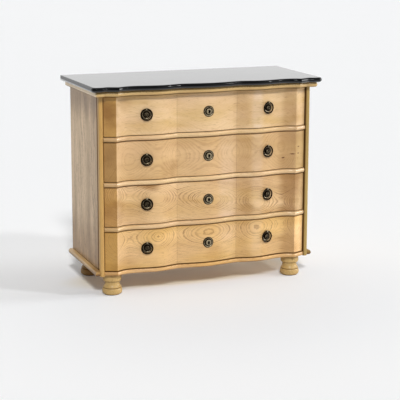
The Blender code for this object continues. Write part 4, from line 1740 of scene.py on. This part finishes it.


# Each front's end tints are partly painted light and shade, its patches that run from top to bottom are painted shade,
# and its two strengths give painted sheen.
FRONT_CUTS = {
    1: FrontCut(
        OakFinish(pale=(0.755, 0.545, 0.325), deep=(0.560, 0.355, 0.125), late=BROWN, late_share=0.22,
                  fleck_share=0.35),
        shift=3.1, depth=0.50, rise=-0.22, ring=3.0 * MM, wander=16 * MM, slope=0.02,
        end_tints=((0.67, 0.55, 0.26), PLAIN), sheen_strength=(0.1, 0.9),
        patches=(
            Patch(-0.80, 1.0, 0.05, 0.05, 0.35), Patch(-0.95, 0.35, 0.06, 0.080, 0.9),
            Patch(0.34, 0.0, 0.045, 0.0, 0.30), Patch(0.83, 0.0, 0.045, 0.0, 0.45),
        ),
    ),
    2: FrontCut(
        OakFinish(pale=(0.670, 0.445, 0.212), deep=(0.468, 0.278, 0.098), late=BROWN, late_share=0.35,
                  fleck_share=0.30),
        shift=1.3, depth=0.28, rise=0.01, ring=3.4 * MM, wander=12 * MM, slope=0.0,
        end_tints=((0.60, 0.51, 0.30), (0.84, 0.84, 0.72)), sheen_strength=(0.6, 0.7),
        patches=(
            Patch(-0.40, -1.0, 0.05, 0.05, 0.30), Patch(-0.95, 0.6, 0.03, 0.06, 0.30),
            Patch(0.35, 0.0, 0.050, 0.0, 0.22), Patch(0.82, 0.0, 0.055, 0.0, 0.42),
            Patch(-0.33, -1.0, 0.03, 0.06, 0.35),
        ),
    ),
    3: FrontCut(
        OakFinish(pale=(0.765, 0.525, 0.277), deep=(0.527, 0.312, 0.099), late_share=0.90),
        shift=0.6, depth=-0.100, rise=0.00, ring=2.3 * MM, wander=11 * MM, slope=0.11,
        end_tints=((0.70, 0.58, 0.31), (0.90, 0.90, 0.84)), sheen_strength=(0.9, 0.5),
        patches=(
            Patch(-0.57, 1.8, 0.070, 0.045, 1.0), Patch(-0.86, 0.0, 0.03, 0.10, 0.3),
            Patch(-0.95, -0.5, 0.03, 0.04, 0.35), Patch(0.40, -1.0, 0.04, 0.05, 0.35),
            Patch(0.35, 0.0, 0.050, 0.0, 0.25), Patch(0.84, 0.0, 0.060, 0.0, 0.80),
        ),
    ),
    4: FrontCut(
        OakFinish(pale=(0.795, 0.516, 0.213), deep=(0.587, 0.342, 0.084), late_share=0.66),
        shift=2.2, depth=-0.110, rise=0.05, ring=2.3 * MM, wander=12 * MM, slope=0.0,
        end_tints=((0.69, 0.60, 0.31), (1.31, 1.32, 1.36)), sheen_strength=(0.55, 0.6),
        patches=(
            Patch(-0.80, -1.0, 0.08, 0.05, 0.4), Patch(0.08, -1.0, 0.07, 0.05, 0.3),
            Patch(0.35, 0.0, 0.045, 0.0, 0.25), Patch(0.84, 0.0, 0.050, 0.0, 0.50),
        ),
    ),
}


@dataclass
class Drawers:
    """The four drawers: waved fronts, boxes behind them and their metalwork.

    A crack is its share of the half width, its place above its front's middle and half its length in millimetres.
    """

    wave: Wave
    groups: OakGroups
    metal: bpy.types.Material
    eased: float = 1.3 * MM
    ridge_round: float = 1.5 * MM
    crease_reach: float = 20 * MM
    # A thin line of painted shade down each valley crease.
    crease_shade: float = 0.45 * MM
    clear_faces: float = 0.85
    # Painted light: the top drawer's front is lifted and warmed below the top, where the top's shadow falls.
    top_light_band: float = 24 * MM
    top_painted_light: Colour = (1.06, 0.99, 0.78)
    # Painted sheen: paler, cooler bands beside the middle and on the wave's peak.
    painted_sheen_tint: Colour = (1.04, 1.12, 1.40)
    sheen_share: float = 0.20
    sheen_reach: tuple[float, float] = (0.060, 0.035)
    crack_tint: Colour = (0.270, 0.140, 0.070)
    crack_reach: float = 4.2 * MM
    cracks: tuple[tuple[float, float, float], ...] = (
        (0.861, -0.018, 15.0), (0.922, 0.015, 9.0), (0.920, -0.016, 8.0), (0.775, -0.035, 10.0),
    )

    def front(self) -> bpy.types.Object:
        """Make the top drawer's front, with its sides' tails let into it.

        Returns:
            The front, which the other three are copied from.
        """
        low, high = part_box("drawer_1_front")
        line = both_halves(self.wave.front(high.x / self.wave.inner_half, 0.0))
        board = WavyBoard("drawer_1_front_fine", line, high.y, low.z, high.z, self.wave)
        piece = board.rough()
        for wanted, width in ((self.wave.on_ridge, self.ridge_round), (board.is_rim, self.eased)):
            piece.pick(Kind.EDGES, wanted)
            piece.bevel(width, 3)
        board.crisp_creases(piece, self.crease_reach)
        front = piece.finish(FRONT_SMOOTH)
        for side in SIDES:
            combine(front, self.socket(f"drawer_1_side_{side}"), "DIFFERENCE", FRONT_SMOOTH)
        return front

    def socket(self, node: str) -> bpy.types.Object:
        """Make a cutter the shape of a drawer side, a little larger.

        Args:
            node: The drawer side's node.

        Returns:
            The cutter.
        """
        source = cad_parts[node]
        clear_bench()
        cutter = source.copy()
        cutter.data = source.data.copy()
        cutter.parent = None
        for key in list(cutter.keys()):
            del cutter[key]
        bpy.context.scene.collection.objects.link(cutter)
        bpy.context.view_layer.objects.active = cutter
        cutter.select_set(True)
        bpy.ops.object.mode_set(mode="EDIT")
        bpy.ops.mesh.select_all(action="SELECT")
        bpy.ops.mesh.remove_doubles(threshold=0.005 * MM)
        bpy.ops.mesh.normals_make_consistent(inside=False)
        bpy.ops.transform.shrink_fatten(value=-0.25 * MM)
        bpy.ops.object.mode_set(mode="OBJECT")
        return cutter

    def stains_and_painted_light(self, number: int, height: float, quarter: float) -> tuple[StainAndPaintedLight, ...]:
        """Return a front's darker patches and bands, its painted sheen bands, the painted light below the top on the
        top drawer, and the cracks on the second drawer.

        Args:
            number: The drawer's number.
            height: The height of the front's middle.
            quarter: A quarter of the drawers' pitch.

        Returns:
            The stains, in the order in which they lie over one another.
        """
        half, cut = self.wave.inner_half, FRONT_CUTS[number]
        found = [
            StainAndPaintedLight((p.across * half, 0.0, height + p.quarters * quarter), (p.wide, 0.0, p.tall), p.strength)
            for p in cut.patches
        ]
        if number == 1:
            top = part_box("drawer_1_front")[1].z
            found.append(StainAndPaintedLight((0.0, 0.0, top), (0.0, 0.0, self.top_light_band), 1.0, self.top_painted_light))
        for share, reach, strength in zip((self.sheen_share, self.wave.peak_share), self.sheen_reach, cut.sheen_strength):
            found.append(StainAndPaintedLight((share * half, 0.0, 0.0), (reach, 0.0, 0.0), strength, self.painted_sheen_tint))
        if number == 2:
            for share, up, length in self.cracks:
                reach = (length * MM, 0.0, self.crack_reach)
                found.append(StainAndPaintedLight((share * half, 0.0, height + up), reach, 1.0, self.crack_tint))
        return tuple(found)

    def planks(self) -> dict[int, Plank]:
        """Cut each front: which side of it the pith lies on decides where its ovals sit.

        Returns:
            The plank of each front, by its drawer's number.
        """
        heights = {n: sum(c.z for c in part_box(f"drawer_{n}_front")) / 2 for n in DRAWERS}
        quarter = 0.25 * (heights[1] - heights[2])
        return {
            n: Plank(
                f"oak_front_{n}", Grain.ALONG_X, cut.shift, (self.wave.front_plane + cut.depth, heights[n] + cut.rise),
                cut.ring, cut.wander, -cut.slope, cut.finish, self.wave.ridge_share * self.wave.inner_half,
                cut.end_tints, joints=self.joints(n), clear_faces=self.clear_faces,
                stains_and_painted_light=self.stains_and_painted_light(n, heights[n], quarter),
            )
            for n, cut in FRONT_CUTS.items()
        }

    def joints(self, number: int) -> tuple[tuple[str, float, float], ...]:
        """Find where painted shade darkens a front along its edges and creases.

        Args:
            number: The drawer's number.

        Returns:
            The axis, the place and the reach of each dark line.
        """
        low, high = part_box(f"drawer_{number}_front")
        edges = (("Z", low.z, 3.0 * MM), ("Z", high.z, 4.5 * MM), ("X", low.x, 3.0 * MM), ("X", high.x, 4.0 * MM))
        crease = self.wave.valley_share * self.wave.inner_half
        return edges + tuple(("X", sign * crease, self.crease_shade) for sign in SIDES.values())

    def build(self) -> None:
        """Make the fronts and the metalwork, and dress the boxes."""
        front = self.front()
        planks = self.planks()
        pull, key_plate = Pull(self.wave), Escutcheon()
        plate, ring, escutcheon = pull.plate(), pull.ring(), key_plate.plate()
        rub(plate, pull.plate_radius, pull.wear)
        rub(ring, pull.ring_radius, ((0.0, 0.0), (1.0, 0.0)))
        rub(escutcheon, key_plate.radius, key_plate.wear, key_plate.keyhole)
        top_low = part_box("drawer_1_front")[0].z
        inside = {
            "side_left": (Grain.ALONG_Y, 0.2), "side_right": (Grain.ALONG_Y, 0.8),
            "back": (Grain.ALONG_X, 1.4), "bottom": (Grain.ALONG_X, 2.0),
        }
        for number in DRAWERS:
            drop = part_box(f"drawer_{number}_front")[0].z - top_low
            body = f"drawer_{number}"
            piece = front
            if number > 1:
                piece = copy_of(front, f"drawer_{number}_front_fine", Matrix.Translation((0, 0, drop)))
            dress(piece, planks[number].material(self.groups))
            install(piece, body, Slot.OAK, f"drawer_{number}_front")
            for name, (grain, shift) in inside.items():
                plank = Plank(
                    f"inner_oak_{number}_{name}", grain, shift + 0.6 * number, (0.3, 0.25), 4.0 * MM, 16 * MM,
                    finish=INNER,
                )
                dress_node(f"drawer_{number}_{name}", plank.material(self.groups))
            self.fit_metal(number, plate, ring, escutcheon, pull)
        for master in (plate, ring, escutcheon):
            bpy.data.objects.remove(master)

    def fit_metal(
        self, number: int, plate: bpy.types.Object, ring: bpy.types.Object, escutcheon: bpy.types.Object, pull: Pull
    ) -> None:
        """Put copies of the metalwork on one drawer.

        Args:
            number: The drawer's number.
            plate: The pull plate to copy.
            ring: The ring to copy.
            escutcheon: The key plate to copy.
            pull: What the pulls' places come from.
        """
        node = f"drawer_{number}_escutcheon"
        low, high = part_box(node)
        height = (low.z + high.z) / 2
        facing = Matrix.Rotation(math.pi / 2, 4, "X")
        piece = copy_of(escutcheon, f"{node}_fine", Matrix.Translation((0, high.y, height)) @ facing)
        dress(piece, self.metal)
        install(piece, f"drawer_{number}", Slot.DARK_BRASS, node)
        for side, sign in SIDES.items():
            seat = pull.frame_at(sign, height)
            hung = seat @ Matrix.Translation(pull.eye_centre())
            for master, what, spot, body in (
                (plate, "plate", seat, f"drawer_{number}"), (ring, "ring", hung, f"drawer_{number}_ring_{side}"),
            ):
                node = f"drawer_{number}_pull_{what}_{side}"
                piece = copy_of(master, f"{node}_fine", spot)
                dress(piece, self.metal)
                install(piece, body, Slot.DARK_BRASS, node)


@dataclass(frozen=True)
class FloorPatch:
    """A part of the floor tinted with painted shade: its middle, how fast it fades along each axis, and from where to
    where.
    """

    middle: tuple[float, float, float]
    fading: tuple[float, float, float]
    near: float
    far: float
    tint: Colour


@dataclass(frozen=True)
class Studio:
    """The floor with its painted shade, the soft light and the camera at the photograph's angle.

    The dome lights dull surfaces: its level, and how much it gains upwards, towards the front and to the left.
    Polished ones mirror a wall behind the chest, a window to the right and a plain ceiling. The camera itself sees
    the backdrop.
    """

    camera_place: tuple[float, float, float] = (-2.0613, -5.2322, 1.6202)
    yaw: float = math.radians(21.897)
    pitch: float = math.radians(10.767)
    roll: float = math.radians(0.169)
    focal_pixels: float = 1236.0
    frame_pixels: float = 400.0
    optical_row: float = 160.0
    sensor: float = 36.0
    floor_radius: float = 40.0
    # The floor glows a little: painted light that lifts its shadows.
    floor_glow: float = 0.07
    floor_colours: tuple[Colour, Colour] = ((0.888, 0.896, 0.906), (0.898, 0.906, 0.916))
    # Painted shade on the floor: darker and cooler in front of the chest, darker and warmer under it, as if lit by
    # light thrown off the wood.
    floor_painted_shade: tuple[FloorPatch, ...] = (
        FloorPatch((0, -0.45, 0), (0.8, 1, 1), 0.15, 1.1, (0.805, 0.832, 0.866)),
        FloorPatch((0, 0.06, 0), (1.6, 4.6, 1), 0.70, 1.05, (0.790, 0.735, 0.600)),
    )
    dome_level: float = 0.19
    dome_top: float = 0.09
    dome_front: float = -0.25
    dome_left: float = -0.04
    dim_wall: float = 0.16
    window: float = 1.30
    back_wall: float = 1.27
    ceiling: float = 0.45
    backdrop: Colour = (0.922, 0.922, 0.922)

    def camera(self) -> None:
        """Place the camera."""
        data = bpy.data.cameras.new("photo_view")
        data.sensor_width = self.sensor
        data.lens = self.focal_pixels / self.frame_pixels * self.sensor
        data.shift_y = (self.optical_row - self.frame_pixels / 2) / self.frame_pixels
        thing = bpy.data.objects.new("photo_view", data)
        bpy.context.scene.collection.objects.link(thing)
        turn = (
            Matrix.Rotation(-self.yaw, 4, "Z")
            @ Matrix.Rotation(math.pi / 2 - self.pitch, 4, "X")
            @ Matrix.Rotation(self.roll, 4, "Z")
        )
        thing.matrix_world = Matrix.Translation(self.camera_place) @ turn
        bpy.context.scene.camera = thing

    def floor(self) -> None:
        """Lay a wide pale floor, with painted shade in front of the chest and under it."""
        clear_bench()
        bpy.ops.mesh.primitive_circle_add(vertices=64, radius=self.floor_radius, fill_type="NGON")
        floor = Workpiece("floor").finish()
        material, tree, shader = new_material("pale_floor")
        place = tree.node("ShaderNodeTexCoord").outputs["Object"]
        colour = tree.blend(tree.noise(place, 0.8, 2.0).outputs["Fac"], *self.floor_colours)
        for patch in self.floor_painted_shade:
            away = tree.length(tree.vector("MULTIPLY", tree.vector("SUBTRACT", place, patch.middle), patch.fading))
            colour = tree.blend(tree.remap(away, patch.near, patch.far, 1.0, 0.0, smooth=True), colour, patch.tint)
        tree.feed_all(shader, {
            "Base Color": colour, "Emission Color": PLAIN, "Emission Strength": self.floor_glow, "Roughness": 0.7,
            "Specular IOR Level": 0.2,
        })
        dress(floor, material)

    def sky(self) -> None:
        """Light the room: a soft dome for dull surfaces, walls and a window for polished ones."""
        world = bpy.data.worlds.new("studio")
        bpy.context.scene.world = world
        world.use_nodes = True
        tree = Tree(world.node_tree)
        axes = tree.axes(tree.node("ShaderNodeTexCoord").outputs["Generated"])
        dome = tree.math("MULTIPLY_ADD", axes["X"], -self.dome_left, self.dome_level)
        dome = tree.math("MULTIPLY_ADD", axes["Y"], -self.dome_front, dome)
        dome = tree.math("MAXIMUM", tree.math("MULTIPLY_ADD", axes["Z"], self.dome_top, dome), 0.0)
        window = tree.remap(axes["X"], 0.02, 0.45, self.dim_wall, self.window, smooth=True)
        behind = tree.remap(axes["Y"], -0.30, 0.50, window, self.back_wall, smooth=True)
        room = tree.node("ShaderNodeMix", data_type="FLOAT")
        tree.feed_all(room, {0: tree.remap(axes["Z"], 0.20, 0.80, smooth=True), 2: behind, 3: self.ceiling})
        path = tree.node("ShaderNodeLightPath")
        lit = []
        for colour, strength in ((PLAIN, dome), (PLAIN, room.outputs[0]), (self.backdrop, 1.0)):
            light = tree.node("ShaderNodeBackground")
            tree.feed_all(light, {"Color": colour, "Strength": strength})
            lit.append(light.outputs[0])
        polished = tree.mix_shaders(path.outputs["Is Glossy Ray"], lit[0], lit[1])
        seen = tree.mix_shaders(path.outputs["Is Camera Ray"], polished, lit[2])
        tree.feed_all(tree.node("ShaderNodeOutputWorld"), {"Surface": seen})

    def lamp(self, name: str, azimuth: float, elevation: float, strength: float, spread: float) -> None:
        """Hang a broad soft light.

        Args:
            name: Its name.
            azimuth: Degrees to the right of the chest's front.
            elevation: Degrees above the floor.
            strength: Its strength.
            spread: The angle it is seen under, in degrees.
        """
        data = bpy.data.lights.new(name, "SUN")
        data.energy = strength
        data.angle = math.radians(spread)
        thing = bpy.data.objects.new(name, data)
        bpy.context.scene.collection.objects.link(thing)
        side, up = math.radians(azimuth), math.radians(elevation)
        towards = Vector((math.sin(side) * math.cos(up), -math.cos(side) * math.cos(up), math.sin(up)))
        thing.rotation_euler = towards.to_track_quat("Z", "Y").to_euler()

    def build(self) -> None:
        """Set the scene up."""
        bpy.context.scene.view_settings.view_transform = "Standard"
        self.camera()
        self.floor()
        self.sky()
        self.lamp("main", azimuth=-16.0, elevation=39.0, strength=2.14, spread=9.0)
        self.lamp("key", azimuth=52.0, elevation=34.0, strength=0.72, spread=5.0)
        self.lamp("skim", azimuth=80.0, elevation=13.0, strength=1.8, spread=22.0)


def main() -> None:
    """Build the chest's looks in order."""
    logging.basicConfig(level=logging.INFO, format="%(message)s")
    Studio().build()
    pilaster_low, pilaster_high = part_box("pilaster_right")
    wave = Wave(inner_half=pilaster_low.x, front_plane=pilaster_low.y)
    groups = OakGroups.make()
    metal = DarkBrass().material()
    Top(wave, pilaster_high.x, groups).build()
    DustBoards(wave, groups).build()
    Sides(groups).build()
    Feet(groups).build()
    Drawers(wave, groups, metal).build()


if __name__ == "__main__":
    main()
